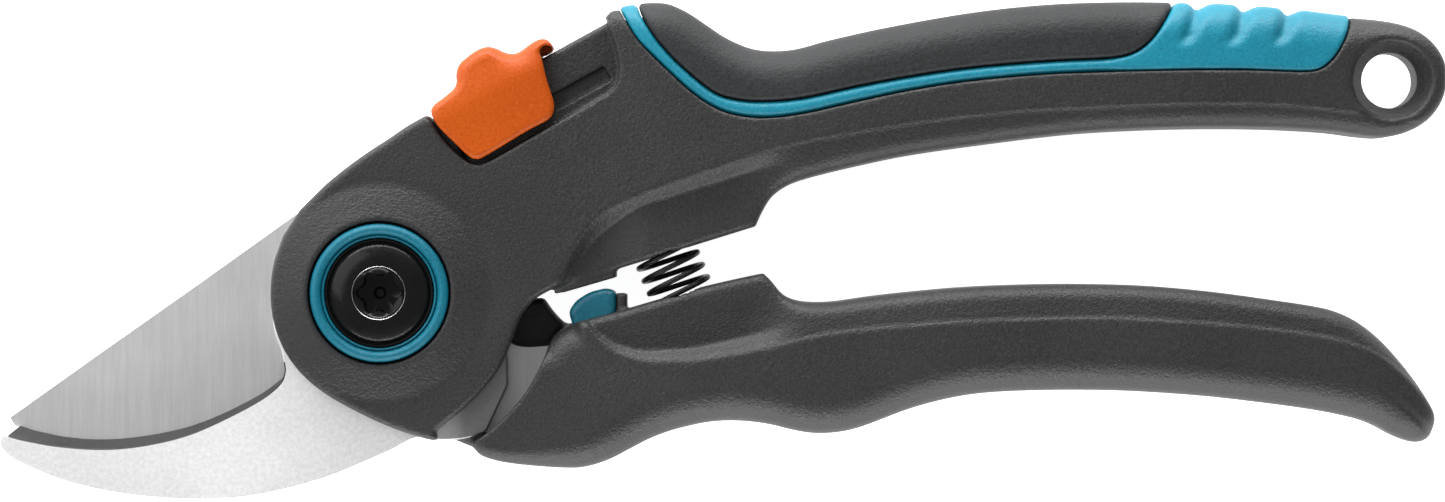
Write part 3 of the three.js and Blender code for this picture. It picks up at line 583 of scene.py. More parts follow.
# -------------------- lower handle
LOWER = outline(
    [(10, -19), (20, -9.5), (25.4, -8.4)],
    curve([(25.8, -7.8), (27.6, -5.95), (29.5, -4.8)]),
    curve([(37.2, -2.8), (42.3, -1.3), (50.2, 0.95), (58.7, 2.85), (59.6, 2.75), (60.6, 1.85),
           (62.2, -0.05), (64, -1.05),
           (66.6, -1.5), (70.4, -1.4), (76.1, -0.6), (82.3, 0.1), (91, 0.85), (101.1, 1.25), (110.5, 1.3),
           (119.8, 1), (129, 0.15), (138.6, -1.15), (144.8, -2.1), (148.2, -2.95), (151.3, -4.4),
           (154.3, -6.6),
           (157.3, -9.6), (160.5, -13.5), (162.8, -16.9), (163.95, -19.1), (164.05, -21), (163.3, -22.6),
           (161.9, -23.3), (160, -23.2), (157.4, -22.2), (154.4, -20.6), (151.1, -19.5), (144.8, -18.2),
           (135, -16.85), (126.1, -15.9), (115, -15.2), (104, -15.1), (94.8, -15.45), (88.6, -16.3),
           (82.3, -17.95), (76.1, -20.3), (73, -21.3), (69.8, -21.8), (66.7, -21.8), (63.6, -21.25),
           (60.5, -20.5),
           (57.3, -20.05), (54.2, -19.9), (51.1, -20.1), (48, -20.7), (44.8, -21.55), (41.7, -22.75),
           (38.6, -24.35), (35.5, -25.95), (32.3, -27), (29.2, -27.3), (23, -26.85), (18.5, -26.2),
           (15.7, -25.3),
           (14.5, -24.2)]),
)
LOWER_CREASE = along(
    [20, 29, 32, 34.3, 37.5, 42.3, 47, 53.4, 59.8, 65, 70.1, 77.3, 84.5, 91.6, 102.4, 112, 119.8, 130.7,
     141.6, 148, 153, 158, 163, 170],
    [8, -1, -5.5, -8.1, -10.1, -11.1, -11.1, -10.3, -9, -7.6, -6.6, -5.8, -5.2, -4.75, -4.4, -4.25, -4.6,
     -5.3, -6.5, -7.6, -9.2, -12.4, -17, -24],
)
LOWER_SWELL = along(
    [-30, 30, 38, 48, 60, 72, 88, 104, 120, 135, 147, 155, 160, 170],
    [0, 0, 0.4, 1.1, 1.6, 2.2, 3.05, 3.4, 3.35, 2.7, 1.7, 0.6, -0.6, -3.5],
)
TANG = outline([(12, -20.6), (16, -22.2), (28, -21.9), (40, -17.9), (46.3, -14.6), (46.3, -10.8),
                (40, -8.1), (22, -8.1), (14, -3)])
CHEEK = outline(
    arc(17, -3.4, 245, 60),
    curve([(-3, -18.4), (3, -20.6), (7.5, -22.2), (11.1, -23.3), (14.4, -24.5), (22, -26.2), (30, -26.6)]),
    [(40, -22), (40, -3.5), (29.5, -5)],
    curve([(28.9, -5), (27.9, -4.5), (26.4, -2.9), (25.1, -1.1), (24.6, -0.9)]),
)

lower_depth = depth_inside(LOWER)
tang_depth = depth_inside(TANG)
cheek_depth = depth_inside(CHEEK)


def lower_half(x, y):
    base = NECK + LOWER_SWELL(x)
    above = y - LOWER_CREASE(x)
    near = ease((66 - x) / 10)
    scoop = np.minimum(2.6 * ease(above / 3.6) - 0.5 * ease((above - 4) / 6), base - SPRING_WALL)
    chamfer = CREASE_STEP * ease(above / CREASE_WIDTH) + 0.16 * np.maximum(above - CREASE_WIDTH, 0)
    fall = near * scoop + (1 - near) * chamfer
    return base - fall * ease((x - 26) / 6) * ease((172 - x) / 20)


def lower_outer(x, y, z):
    outer_side = ease((LOWER_CREASE(x) - y) / 4)
    radius = 1.4 + outer_side * (0.8 + 3.4 * ease((x - 14) / 24)) + (1 - outer_side) * ease((x - 58) / 8)
    return meet(np.abs(z - MID) - lower_half(x, y), -lower_depth(x, y), radius)


GRIP_START = 27.3  # radius beyond which the grip stands in front of the rear cheek
DISC_ROOM = 19.5   # radius kept clear in front of the rear cheek


def lower_handle(x, y, z):
    radius = np.hypot(x, y)
    grip = cut(lower_outer(x, y, z), np.maximum(radius - GRIP_START, REAR_CHEEK_TOP - z), 0.4)
    cheek = meet(np.maximum(MID - NECK - z, z - REAR_CHEEK_TOP), -cheek_depth(x, y), 1.2)
    boss_low = MID - NECK - boss_height(x, y)
    boss = np.maximum(boss_low - z, np.maximum(radius - BOSS_END, z - REAR_CHEEK_TOP + 1))
    cheek = join(cheek, boss, 0.3)
    body = join(grip, cheek, 1.0)
    body = cut(body, np.maximum(radius - DISC_ROOM, REAR_CHEEK_TOP - z), 0.2)
    tang = np.maximum(-(tang_depth(x, y) + FIT), np.maximum(REAR_CHEEK_TOP - z, z - BLADE_TOP - FIT))
    body = cut(body, tang, 0.15)
    body = cut(body, np.maximum(radius - BORE_RADIUS, z - (MID - NECK - BORE_STEP)), 0.35)
    body = cut(body, radius - PIVOT_RADIUS, 0.1)
    body = cut(body, spring_pocket(x, y, z, 1), 0.35)
    backing = meet(np.maximum(np.abs(x - 37.4) - 0.75, np.abs(y + 4) - 3.9), np.abs(z - MID) - 4.6, 0.5)
    return join(body, backing, 0.4)


# -------------------- lock
LOCK_SIDE = outline(
    curve([(23.4, 10.75), (26, 10.75), (32, 11), (35.6, 10.95), (37, 11.6), (37.75, 12.8), (38.15, 14.6),
           (38.7, 17.2), (39.6, 20.1), (40.1, 20.15)]),
    curve([(41.3, 20.15), (41.8, 20.9), (41.5, 22), (40.5, 22.6), (38.9, 22.65), (37.2, 22.45), (36, 22.6),
           (34.9, 23.4), (34, 24.6), (32.9, 25.5), (31.2, 25.8), (29, 25.55), (27.6, 25.1), (26.6, 24.1),
           (26, 22.9), (25.1, 22.2), (23.2, 21.8), (21.4, 21.5), (20.5, 20.9), (20.25, 19.6), (20.5, 17.6),
           (21.3, 14.9), (22, 12.6), (22.6, 11.3)]),
)
LEG_REACH = 2.8  # how far the slider's legs stand out from the ridge's face
lock_depth = depth_inside(LOCK_SIDE, 0.15)


def lock_slider(u, v, z):
    """In the ridge's own directions: a saddle over the ridge, with a rib inside each leg."""
    across = np.abs(z - MID)
    reach = CHANNEL_HALF + LEG_REACH
    crown = ease((v - 18.5) / 6.5)
    dish = 1.5 * np.exp(-((u - 36.6) / 2.6) ** 2 - ((v - 23.6) / 2.6) ** 2)
    half = reach + 0.2 - 0.35 * ease((20 - v) / 8) - 1.0 * crown - dish
    body = meet(across - half, -lock_depth(u, v), 0.8 + 1.3 * crown)
    slot = np.maximum(v - (RIDGE_HEIGHT + 0.25), across - (CHANNEL_HALF + 0.2))
    body = cut(body, slot, 0.35)
    hollow = (np.hypot((u - 40.55) / 1.05, (v - 20.2) / 1.2) - 1) * 1.05  # under the crown's rear lip
    body = cut(body, np.maximum(hollow, 2.4 - across), 0.25)
    rib = np.maximum(np.abs(v - RIB_LINE) - 0.7, np.abs(u - 30.3) - 7.3)
    rib = np.maximum(rib, np.maximum(CHANNEL_HALF - 0.5 - across, across - reach + 1))
    return np.minimum(body, rib)


def lock_to_frame(points):
    x, y = from_ridge(points[:, 0], points[:, 1])
    return np.column_stack([x, y, points[:, 2]])


# -------------------- stop buffer
BUFFER = rounded_polygon([(30.6, -7.4), (35.6, -6), (36.5, -3.1), (36.5, 0.2), (34.9, 0.7), (32.4, 0.1),
                          (30.3, -1.2), (29.1, -2.9), (29.6, -4.6)], 0.8)
buffer_depth = depth_inside(BUFFER, 0.1)


BUFFER_HALF = 4.8  # half its thickness


def buffer_shape(x, y, z):
    return meet(np.abs(z - MID) - BUFFER_HALF, -buffer_depth(x, y), 1.1)


# -------------------- materials
def linear(*rgb):
    return tuple((c / 255) ** 2.2 for c in rgb) + (1,)


class Nodes:
    """Short names for building a material's nodes."""

    def __init__(self, name):
        self.material = bpy.data.materials.new(name)
        self.material.use_nodes = True
        self.tree = self.material.node_tree
        self.shader = self.tree.nodes["Principled BSDF"]
        self.coords = self.add("ShaderNodeTexCoord").outputs["Object"]

    def plug(self, value, socket):
        if isinstance(value, bpy.types.NodeSocket):
            self.tree.links.new(value, socket)
        else:
            socket.default_value = value

    def fill(self, node, inputs):
        for key, value in inputs.items():
            self.plug(value, node.inputs[key.replace("_", " ")])

    def add(self, kind, **inputs):
        node = self.tree.nodes.new(kind)
        self.fill(node, inputs)
        return node

    def noise(self, scale, detail=3.0, stretch=None, rough=0.55):
        vector = self.coords
        if stretch is not None:
            mapping = self.add("ShaderNodeMapping", Vector=vector, Scale=stretch[0], Rotation=stretch[1])
            vector = mapping.outputs["Vector"]
        node = self.add("ShaderNodeTexNoise", Vector=vector, Scale=scale, Detail=detail, Roughness=rough)
        return node.outputs["Fac"]

    def between(self, factor, low, high, start=0.35, end=0.65):
        limits = dict(From_Min=start, From_Max=end, To_Min=low, To_Max=high)
        return self.add("ShaderNodeMapRange", Value=factor, **limits).outputs["Result"]

    def mix(self, factor, a, b):
        node = self.tree.nodes.new("ShaderNodeMix")
        node.data_type = "RGBA"
        for value, place in ((factor, 0), (a, 6), (b, 7)):
            self.plug(value, node.inputs[place])
        return node.outputs[2]

    def set(self, **inputs):
        self.fill(self.shader, inputs)

    def bump(self, height, distance, strength=1.0, below=None):
        node = self.add("ShaderNodeBump", Height=height, Distance=distance, Strength=strength)
        if below is not None:
            self.plug(below, node.inputs["Normal"])
        return node.outputs["Normal"]


def moulded(name, dark, light, roughness, grain=0.00011, grain_scale=2900, specular=0.4, speckle=0.26):
    """Plastic with a spark-eroded skin: fine grain and slight cloudiness."""
    n = Nodes(name)
    cloud = n.noise(55, 4)
    grains = n.noise(grain_scale, 2)
    broad = n.noise(grain_scale * 0.55, 1)
    deep = tuple(c * (1 - speckle) for c in dark[:3]) + (1,)
    pale = tuple(c * (1 + speckle) for c in light[:3]) + (1,)
    clouded = n.mix(n.between(cloud, 0, 1), dark, light)
    colour = n.mix(n.between(grains, 0, 1, 0.3, 0.48), deep, clouded)
    colour = n.mix(n.between(grains, 0, 1, 0.52, 0.75), colour, pale)
    rough = n.between(grains, roughness - 0.06, roughness + 0.07)
    normal = n.bump(broad, grain * 0.8)
    normal = n.bump(grains, grain, below=normal)
    n.set(Base_Color=colour, Roughness=rough, Normal=normal, Specular_IOR_Level=specular)
    return n.material


def painted_root_shade(n, colour, most):
    """Painted shade: the plates' roots, beyond the pivot, are darkened towards black to stand in for the
    shadow under the cheeks.
    """
    place = n.add("ShaderNodeSeparateXYZ", Vector=n.coords).outputs["X"]
    # Painted shade: the colour darkens with X from 6 to 13 mm, where the cheek's shadow falls.
    painted_shade = n.between(place, 0, most, 0.006, 0.013)
    return n.mix(painted_shade, colour, (0.02, 0.02, 0.02, 1))


def ground_steel(name, dark, light, roughness, across_angle, streak=0.00002, metallic=0.8):
    """Steel ground in one direction: long fine streaks in colour, gloss and relief."""
    n = Nodes(name)
    turn = (0, 0, math.radians(across_angle))
    lines = n.noise(1.0, 3, ((5200, 210, 210), turn), 0.6)
    coarse = n.noise(1.0, 2, ((1500, 60, 60), turn), 0.6)
    cloud = n.noise(45, 3)
    both = n.add("ShaderNodeMath")
    both.operation = "ADD"
    n.plug(lines, both.inputs[0])
    n.plug(coarse, both.inputs[1])
    colour = n.mix(n.between(both.outputs[0], 0, 1, 0.75, 1.25), dark, light)
    rough = n.between(cloud, roughness - 0.03, roughness + 0.05)
    normal = n.bump(lines, streak)
    # The root beyond the pivot is painted slightly darker, as painted shade.
    n.set(Base_Color=painted_root_shade(n, colour, 0.1), Roughness=rough, Metallic=metallic, Normal=normal)
    return n.material


def satin_steel(name, dark, light, roughness, metallic=1.0, painted_shade=False):
    """Blasted pale steel: a fine speckle with no direction, and with painted_shade a root painted dark as
    shade.
    """
    n = Nodes(name)
    speckle = n.noise(1500, 3, rough=0.7)
    cloud = n.noise(60, 3)
    colour = n.mix(n.between(speckle, 0, 1), dark, light)
    rough = n.between(cloud, roughness - 0.04, roughness + 0.05)
    # With painted_shade set, the root beyond the pivot is painted dark as shade.
    n.set(Base_Color=painted_root_shade(n, colour, 0.78) if painted_shade else colour, Roughness=rough)
    n.set(Metallic=metallic, Normal=n.bump(speckle, 0.00002))
    return n.material


def black_metal(name, colour, roughness, metallic=0.0, grain=0.00002):
    """Blackened steel with a faint cloud in its colour."""
    n = Nodes(name)
    speckle = n.noise(1800, 2)
    cloud = n.noise(160, 3)
    shade = n.mix(n.between(cloud, 0, 1), colour, tuple(min(1, c * 1.7) for c in colour[:3]) + (1,))
    rough = n.between(speckle, roughness - 0.05, roughness + 0.08)
    n.set(Base_Color=shade, Roughness=rough, Metallic=metallic, Normal=n.bump(speckle, grain))
    n.set(Specular_IOR_Level=0.16)
    return n.material


HARD = moulded("hard_grey_plastic", linear(36, 36, 36), linear(43, 43, 43), 0.5)
SOFT_GREY = moulded("soft_grey_rubber", linear(36, 37, 38), linear(43, 44, 45), 0.6, 0.00009, 2500, 0.3)
TEAL = moulded("soft_teal_rubber", linear(5, 112, 133), linear(10, 122, 144), 0.5, 0.00006, 2700, 0.35, 0.1)
TEAL_RING = moulded("teal_ring_rubber", linear(4, 94, 113), linear(8, 103, 123), 0.5, 0.00006, 2700, 0.3, 0.1)
DARK_TEAL = moulded("teal_buffer_rubber", linear(8, 84, 100), linear(12, 94, 112), 0.42, 0.00003, 2000,
                    0.4, 0.1)
ORANGE = moulded("orange_plastic", linear(167, 70, 13), linear(176, 77, 17), 0.42, 0.00003, 2400, 0.2, 0.06)
BLADE = ground_steel("ground_blade_steel", linear(192, 192, 192), linear(203, 203, 203), 0.42, 2)
# The hook's root is painted dark as the shade under the front cheek.
HOOK = satin_steel("pale_hook_steel", linear(222, 222, 222), linear(238, 238, 238), 0.45, 0.65, True)
# The hook's bevel is painted dark: a painted reflection of dark surroundings.
PAINTED_REFLECTION_EDGE = satin_steel("cut_edge_painted_dark_reflection", linear(30, 30, 31), linear(42, 42, 43), 0.5, 0.5)
GROUND_EDGE = ground_steel("bright_ground_edge", linear(190, 190, 192), linear(224, 224, 226), 0.25, 60)
BLACK = black_metal("black_bolt", (0.003, 0.003, 0.003, 1), 0.2)
BLACK_RING = black_metal("black_bezel", (0.006, 0.006, 0.006, 1), 0.3)
BRIGHT = satin_steel("worn_bright_steel", linear(150, 150, 150), linear(190, 190, 190), 0.4)
PLAIN = satin_steel("plain_steel", linear(150, 150, 152), linear(180, 180, 182), 0.35)
SPRING_STEEL = black_metal("spring_black", (0.012, 0.012, 0.013, 1), 0.3, 0.3)


def dressed(obj, body, slot, *materials, replaces=()):
    for material in materials:
        obj.data.materials.append(material)
    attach(obj, body)
    if replaces:
        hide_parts(*replaces)
    return obj


# -------------------- build: handles
Y_LINES = steps_between((-24.6, FINE), (46.2, 0))
Z_LINES = steps_between((-0.6, FINE), (21.6, 0))
upper = surface("upper_handle_shell", upper_handle,
                steps_between((-18.4, FINE), (62, COARSE), (148, FINE), (166.6, 0)), Y_LINES, Z_LINES)
dressed(upper, "upper_handle", "hard_plastic", HARD, replaces=["upper_handle_body"])

pad = surface("soft_grip_pad", pad_shape,
              steps_between((38.6, FINE), (62, COARSE), (124.6, 0)),
              steps_between((28.6, FINE), (46.2, 0)), Z_LINES)
dressed(pad, "upper_handle", "soft_pad", SOFT_GREY, replaces=["grip_pad"])

inlay = surface("teal_grip_inlay", inlay_shape,
                steps_between((35.6, FINE), (62, COARSE), (118, FINE), (152, 0)),
                steps_between((26.2, FINE * 0.75), (46.2, 0)), Z_LINES)
dressed(inlay, "upper_handle", "accent_soft", TEAL, replaces=["grip_inlay"])

lower = surface("lower_handle_shell", lower_handle,
                steps_between((-18.4, FINE), (66, COARSE), (144, FINE), (165.2, 0)),
                steps_between((-28.2, FINE), (18, 0)), Z_LINES)
dressed(lower, "lower_handle", "hard_plastic", HARD, replaces=["lower_handle_body"])

bumper = surface("teal_stop_buffer", buffer_shape, steps_between((28.6, 0.3), (37.2, 0)),
                 steps_between((-8, 0.3), (1.4, 0)), steps_between((5, 0.3), (16, 0)))
dressed(bumper, "lower_handle", "buffer_rubber", DARK_TEAL, replaces=["stop_buffer"])

slider = surface("orange_lock_slider", lock_slider, steps_between((19.6, 0.3), (42.6, 0)),
                 steps_between((10, 0.3), (26.6, 0)), steps_between((1.8, 0.3), (19.2, 0)), lock_to_frame)
dressed(slider, "lock", "lock_plastic", ORANGE, replaces=["lock_slider"])


# -------------------- build: steel plates
HOOK_EDGE = curve([(-56.6, -20.8), (-54.6, -21.5), (-52, -22.1), (-49.3, -22.6), (-44.8, -22.95),
                   (-40, -22.75), (-34.8, -22), (-29.8, -20.8), (-24.8, -18.85), (-19.8, -16.3),
                   (-17.2, -14.6), (-15.5, -13.1), (-15.05, -12)])
HOOK_FRONT_EDGE = curve([(-58.1, -22.2), (-56.2, -22.75), (-53.5, -23.3), (-50.5, -23.8), (-45, -24.25),
                         (-40, -24.1), (-34.8, -23.3), (-29.8, -21.95), (-24.8, -19.8), (-19.8, -17.2),
                         (-17, -15.3), (-15.5, -13.7), (-15.05, -12.1)])
HOOK_REST = outline(
    curve([(-15.2, -10.8), (-15.6, -9), (-16.3, -7.2), (-16.85, -5), (-16.9, -2.6)]),
    arc(16.7, 180, 100, 30), [(6, 22), (16, 26.6), (27, 30.5), (32, 28), (31, 15), (24, 6.5), (17.3, 3),
                              (18.6, -4), (19.5, -10)],
    [(19.6, -14.4), (16.4, -21.3)],
    curve([(15.9, -21.8), (13, -22.7), (9.2, -23), (5.5, -22.7), (1.6, -24.6), (-2, -26.2), (-8.3, -28.8),
           (-14.5, -30.6), (-20.8, -31.85), (-27, -32.3), (-33.3, -32.15), (-41.1, -31.3), (-48, -29.8),
           (-53.3, -27.9), (-56.6, -26.4), (-58.5, -25.1), (-59.35, -23.9), (-59.4, -22.9), (-58.9, -22.1)]),
)


HOOK_BURR = 0.06     # edge break at the hook's back
HOOK_LAND = 0.7      # height of its cutting edge before the bevel
HOOK_CHAMFER = 0.22  # edge break at its front


def hook_plate():
    edge = outline(HOOK_EDGE, HOOK_REST)[::-1]
    front = outline(HOOK_FRONT_EDGE, HOOK_REST)[::-1]
    land = HOOK_BOTTOM + HOOK_LAND
    levels = [
        (HOOK_BOTTOM, moved_in(edge, HOOK_BURR)), (HOOK_BOTTOM + HOOK_BURR, edge), (land, edge),
        (HOOK_TOP - HOOK_CHAMFER, front), (HOOK_TOP, moved_in(front, HOOK_CHAMFER)),
    ]
    obj = plate("hook_counter_blade", levels)
    # The bevel's faces take the second material, painted dark as a reflection of dark surroundings.
    bevel = len(HOOK_EDGE)
    count = len(edge)
    for row in range(len(levels) - 1):
        for i in range(count - bevel - 1, count - 1):
            obj.data.polygons[row * count + i].material_index = 1
    return obj


dressed(hook_plate(), "upper_handle", "hook_steel", HOOK, PAINTED_REFLECTION_EDGE, replaces=["counter_blade"])

BLADE_EDGE = curve([(-58.4, -19.55), (-57.4, -20.9), (-55, -22), (-52, -22.95), (-45, -24), (-38, -23.9),
                    (-31, -22.8), (-25, -21), (-19, -18.4), (-14.5, -16.6)])
BLADE_GRIND = curve([(-58.3, -19.5), (-56.4, -19.4), (-54, -19), (-50, -18.3), (-44, -18), (-38, -17.6),
                     (-31.5, -16.5), (-26, -15.2), (-20.5, -14.4), (-14.4, -16.5)])
BLADE_REST = outline(
    arc(17.9, -125, -70, 16), [(12, -20.6), (16, -21.9), (28, -21.6), (40, -17.6), (46, -14.4), (46, -11),
                               (40, -8.4)],
    curve([(25.5, -8.35), (22, -8.5), (19.6, -7.6), (17.75, -4.6)]), arc(17.9, -10, 125.2, 50),
    [(-12.7, 12.9), (-30, 0.55), (-45, -10)],
)


BLADE_LAND = 0.25     # height of the blade's cutting edge
BLADE_CHAMFER = 0.05  # edge break at its front


def blade_plate():
    edge = outline(BLADE_EDGE, BLADE_REST)
    ground = outline(BLADE_GRIND, BLADE_REST)
    levels = [
        (BLADE_BOTTOM, ground), (BLADE_TOP - BLADE_LAND, edge),
        (BLADE_TOP - BLADE_CHAMFER, edge), (BLADE_TOP, moved_in(edge, BLADE_CHAMFER)),
    ]
    obj = plate("bypass_cutting_blade", levels)
    for i in range(len(BLADE_EDGE)):
        obj.data.polygons[i].material_index = 1
    return obj


dressed(blade_plate(), "lower_handle", "blade_steel", BLADE, GROUND_EDGE, replaces=["cutting_blade"])


# -------------------- build: pivot
SEAT = bottom_of("front_accent_ring")
HEAD_TOP = top_of("pivot_bolt")
HEAD_SEAT = HEAD_TOP - 1.9
BOLT_END = bottom_of("pivot_bolt")


def bolt():
    top = HEAD_TOP
    profile = [
        (0.001, BOLT_END), (3.4, BOLT_END), (4, BOLT_END + 0.6),
        (4, HEAD_SEAT), (7.4, HEAD_SEAT), (7.7, HEAD_SEAT + 0.2),
        (7.75, HEAD_SEAT + 0.4), (7.7, top - 1.3), (7.5, top - 1.05), (7.1, top - 0.76), (6.5, top - 0.48),
        (5.9, top - 0.28), (5.3, top - 0.13), (4.7, top - 0.03), (4.2, top),
        (4.14, top - 0.01), (4.04, top - 0.1), (3.85, top - 0.4),
        (3.62, top - 0.62, 0.03), (3.5, top - 0.75, 0.085), (3.42, top - 0.95, 0.1), (3.4, top - 3, 0.1),
        (3.0, top - 3.15, 0.06), (1.0, top - 3.3), (0.6, top - 3.7), (0.001, top - 3.8),
    ]
    obj = turned("pivot_bolt_head", profile)
    # The black is worn off round the socket's edge.
    for polygon in obj.data.polygons:
        r = math.hypot(polygon.center.x, polygon.center.y) / MM
        if 4.02 < r < 4.16 and polygon.center.z / MM > top - 0.3:
            polygon.material_index = 1
    return obj


dressed(bolt(), "upper_handle", "black_bolt", BLACK, BRIGHT, replaces=["pivot_bolt"])

CUP = [
    (4.35, SEAT), (8.2, SEAT), (8.32, SEAT + 0.2), (8.35, SEAT + 1.3), (8.3, SEAT + 1.5), (8.2, SEAT + 1.58),
    (8.08, SEAT + 1.5), (8.0, SEAT + 1.3), (7.95, SEAT + 0.6), (4.35, SEAT + 0.6),
]
cup = turned("pivot_cup_bezel", CUP)
dressed(cup, "upper_handle", "black_bolt", BLACK_RING, replaces=["pivot_cup_washer"])


def accent_profile(seat, direction):
    rows = [
        (8.55, 0), (10.7, 0), (10.75, 1.2), (10.68, 1.6), (10.5, 1.95), (10.28, 2.2), (10.04, 2.34),
        (9.84, 2.38),
        (9.62, 2.34), (9.4, 2.2), (9.2, 1.95), (9.08, 1.65), (9.02, 1.3), (8.96, 1.3), (8.9, 1.62),
        (8.76, 1.74),
        (8.6, 1.66), (8.5, 1.4),
    ]
    rows = [(r, seat + direction * h) for r, h in rows]
    return rows if direction > 0 else rows[::-1]


front_ring = turned("teal_front_ring", accent_profile(SEAT, 1))
dressed(front_ring, "upper_handle", "accent_soft", TEAL_RING, replaces=["front_accent_ring"])
rear_ring = turned("teal_rear_ring", accent_profile(top_of("rear_accent_ring"), -1))
dressed(rear_ring, "lower_handle", "accent_soft", TEAL_RING, replaces=["rear_accent_ring"])


NUT_FLAT = 6.5       # half the width across the flats
NUT_FLANGE = top_of("spring_washer") - 0.8
FLANGE_RADIUS = 8.25
FLANGE_HALF = 0.45   # half its thickness
SLEEVE_RADIUS = 5.45
THREAD_RADIUS = 4.3  # the hollow that the bolt's shank stands in
END_RADIUS = 3.9     # the recess in the nut's end


def nut_shape(x, y, z):
    radius = np.hypot(x, y)
    flats = np.maximum(np.abs(y), np.maximum(np.abs(x * 0.866 + y * 0.5), np.abs(x * 0.866 - y * 0.5)))
    hexagon = meet(flats - NUT_FLAT, np.maximum(-z, z - NUT_FLANGE), 0.2)
    hexagon = meet(hexagon, (radius - 6.6 - 1.7 * z) * 0.6, 0.15)
    hexagon = cut(hexagon, np.maximum(radius - END_RADIUS, z - 0.35), 0.2)
    flange = meet(radius - FLANGE_RADIUS, np.abs(z - NUT_FLANGE + FLANGE_HALF) - FLANGE_HALF, 0.25)
    sleeve = meet(radius - SLEEVE_RADIUS, np.maximum(NUT_FLANGE - 1 - z, z - top_of("pivot_nut")), 0.2)
    body = join(np.minimum(hexagon, sleeve), flange, 0.3)
    return np.maximum(body, -np.maximum(radius - THREAD_RADIUS, NUT_FLANGE + 0.1 - z))


nut = surface("pivot_sleeve_nut", nut_shape, steps_between((-8.6, 0.16), (8.6, 0)),
              steps_between((-8.6, 0.16), (8.6, 0)), steps_between((-0.3, 0.16), (7.3, 0)))
dressed(nut, "upper_handle", "black_bolt", BLACK, replaces=["pivot_nut"])


# -------------------- build: spring
WIRE_RADIUS = 0.43
COIL_RADIUS = 4.75   # to the wire's centre
COIL_TURNS = 8
COIL_STEPS = 320
WIRE_SIDES = 12
FIRST_ANGLE = math.radians(200)


def spring():
    """A coil from one pocket's floor to the other's, with its end turns closed up."""
    start, end = np.array([42.4, 10.2, MID]), np.array([48.4, -4.3, MID])
    axis = end - start
    length = np.linalg.norm(axis)
    axis /= length
    side = np.array([0.0, 0.0, 1.0])
    across = np.cross(axis, side)
    t = np.linspace(0, 1, COIL_STEPS + 1)
    angle = 2 * math.pi * COIL_TURNS * t + FIRST_ANGLE
    risen = np.interp(t, [0, 0.11, 0.89, 1], [0.03, 0.085, 0.915, 0.97])
    out = side * np.cos(angle)[:, None] + across * np.sin(angle)[:, None]
    centre = start + axis * (risen * length)[:, None] + COIL_RADIUS * out
    tangent = np.gradient(centre, axis=0)
    tangent /= np.linalg.norm(tangent, axis=1, keepdims=True)
    other = np.cross(tangent, out)
    rings = []
    for k in range(WIRE_SIDES):
        a = 2 * math.pi * k / WIRE_SIDES
        rings.append(centre + WIRE_RADIUS * (math.cos(a) * out + math.sin(a) * other))
    points = np.stack(rings, 1).reshape(-1, 3)
    faces = []
    for i in range(COIL_STEPS):
        faces += walls(i * WIRE_SIDES, (i + 1) * WIRE_SIDES, WIRE_SIDES)
    faces.append(list(range(WIRE_SIDES))[::-1])
    faces.append([COIL_STEPS * WIRE_SIDES + k for k in range(WIRE_SIDES)])
    return sharpened(mesh_object("coil_return_spring", points, faces), 60)


coil = spring()
coil.data.materials.append(SPRING_STEEL)
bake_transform(coil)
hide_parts("return_spring")

# These four stay as the CAD made them, in plain steel.
for node in ("pivot_bush", "spring_washer", "lock_detent_spring", "lock_catch"):
    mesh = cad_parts[node].data
    mesh.materials.clear()
    mesh.materials.append(PLAIN)


# -------------------- floor, light, camera
def floor():
    mesh = bpy.data.meshes.new("studio_floor")
    bm = bmesh.new()
    bmesh.ops.create_grid(bm, x_segments=2, y_segments=2, size=3.0)
    bm.to_mesh(mesh)
    bm.free()
    obj = bpy.data.objects.new("studio_floor", mesh)
    obj.location = (0.05, 0, -0.0005)  # just below the nut's end
    bpy.context.collection.objects.link(obj)
    n = Nodes("pale_floor")
    n.set(Base_Color=(0.9, 0.9, 0.9, 1), Roughness=0.9, Specular_IOR_Level=0.1)
    n.set(Emission_Color=(1, 1, 1, 1), Emission_Strength=0.88)
    mesh.materials.append(n.material)


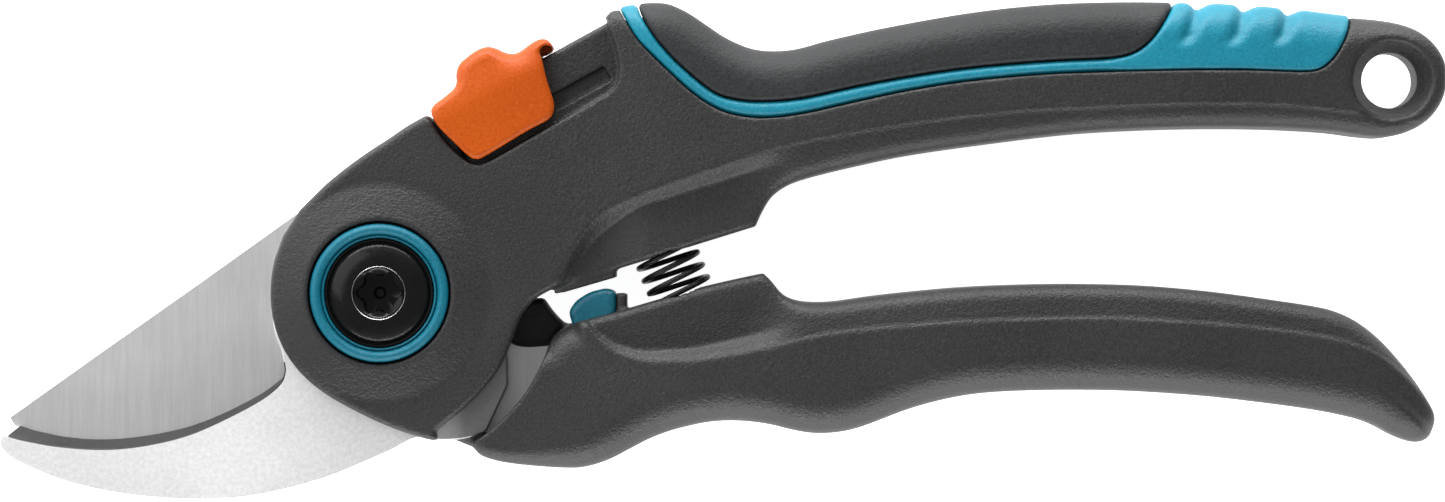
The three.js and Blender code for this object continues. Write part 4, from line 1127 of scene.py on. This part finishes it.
def area_light(name, location, target, size, power):
    light = bpy.data.lights.new(name, "AREA")
    light.shape = "RECTANGLE"
    light.size, light.size_y = size
    light.energy = power
    obj = bpy.data.objects.new(name, light)
    obj.location = location
    aim = Vector(target) - Vector(location)
    obj.rotation_euler = aim.to_track_quat("-Z", "Y").to_euler()
    bpy.context.collection.objects.link(obj)


floor()
area_light("light_above", (-0.02, 0.75, 0.19), (0.05, 0, 0), (1.2, 0.22), 12)
area_light("light_below", (0.05, -0.75, 0.2), (0.05, 0, 0), (1.2, 0.25), 8)
area_light("light_left", (-0.6, 0.35, 0.5), (0.02, 0, 0), (0.8, 0.8), 5)

# The surroundings are brighter towards both long sides than overhead, so that rounded edges catch light.
world = bpy.data.worlds.new("studio")
world.use_nodes = True
sky = world.node_tree.nodes
links = world.node_tree.links
direction = sky.new("ShaderNodeTexCoord")
split = sky.new("ShaderNodeSeparateXYZ")
links.new(direction.outputs["Generated"], split.inputs[0])
sideways = sky.new("ShaderNodeMath")
sideways.operation = "ABSOLUTE"
links.new(split.outputs["Y"], sideways.inputs[0])
height = sky.new("ShaderNodeMapRange")
height.interpolation_type = "SMOOTHSTEP"
links.new(sideways.outputs[0], height.inputs["Value"])
height.inputs["From Min"].default_value = 0.45
height.inputs["From Max"].default_value = 0.95
height.inputs["To Min"].default_value = 0.45
height.inputs["To Max"].default_value = 1.15
sky["Background"].inputs["Color"].default_value = (1, 1, 1, 1)
links.new(height.outputs["Result"], sky["Background"].inputs["Strength"])
bpy.context.scene.world = world
bpy.context.scene.view_settings.view_transform = "Standard"

camera_data = bpy.data.cameras.new("camera")
SENSOR = 36
VIEW_WIDTH = 0.2258    # width that the picture covers
DISTANCE = 0.70        # from the plane that has that width
FOCUS_HEIGHT = 0.0108  # height of that plane
camera_data.sensor_width = SENSOR
camera_data.lens = SENSOR * DISTANCE / VIEW_WIDTH
camera_data.clip_end = 10
camera = bpy.data.objects.new("camera", camera_data)
camera.location = (0.05305, 0.00648, DISTANCE + FOCUS_HEIGHT)
bpy.context.collection.objects.link(camera)
bpy.context.scene.camera = camera
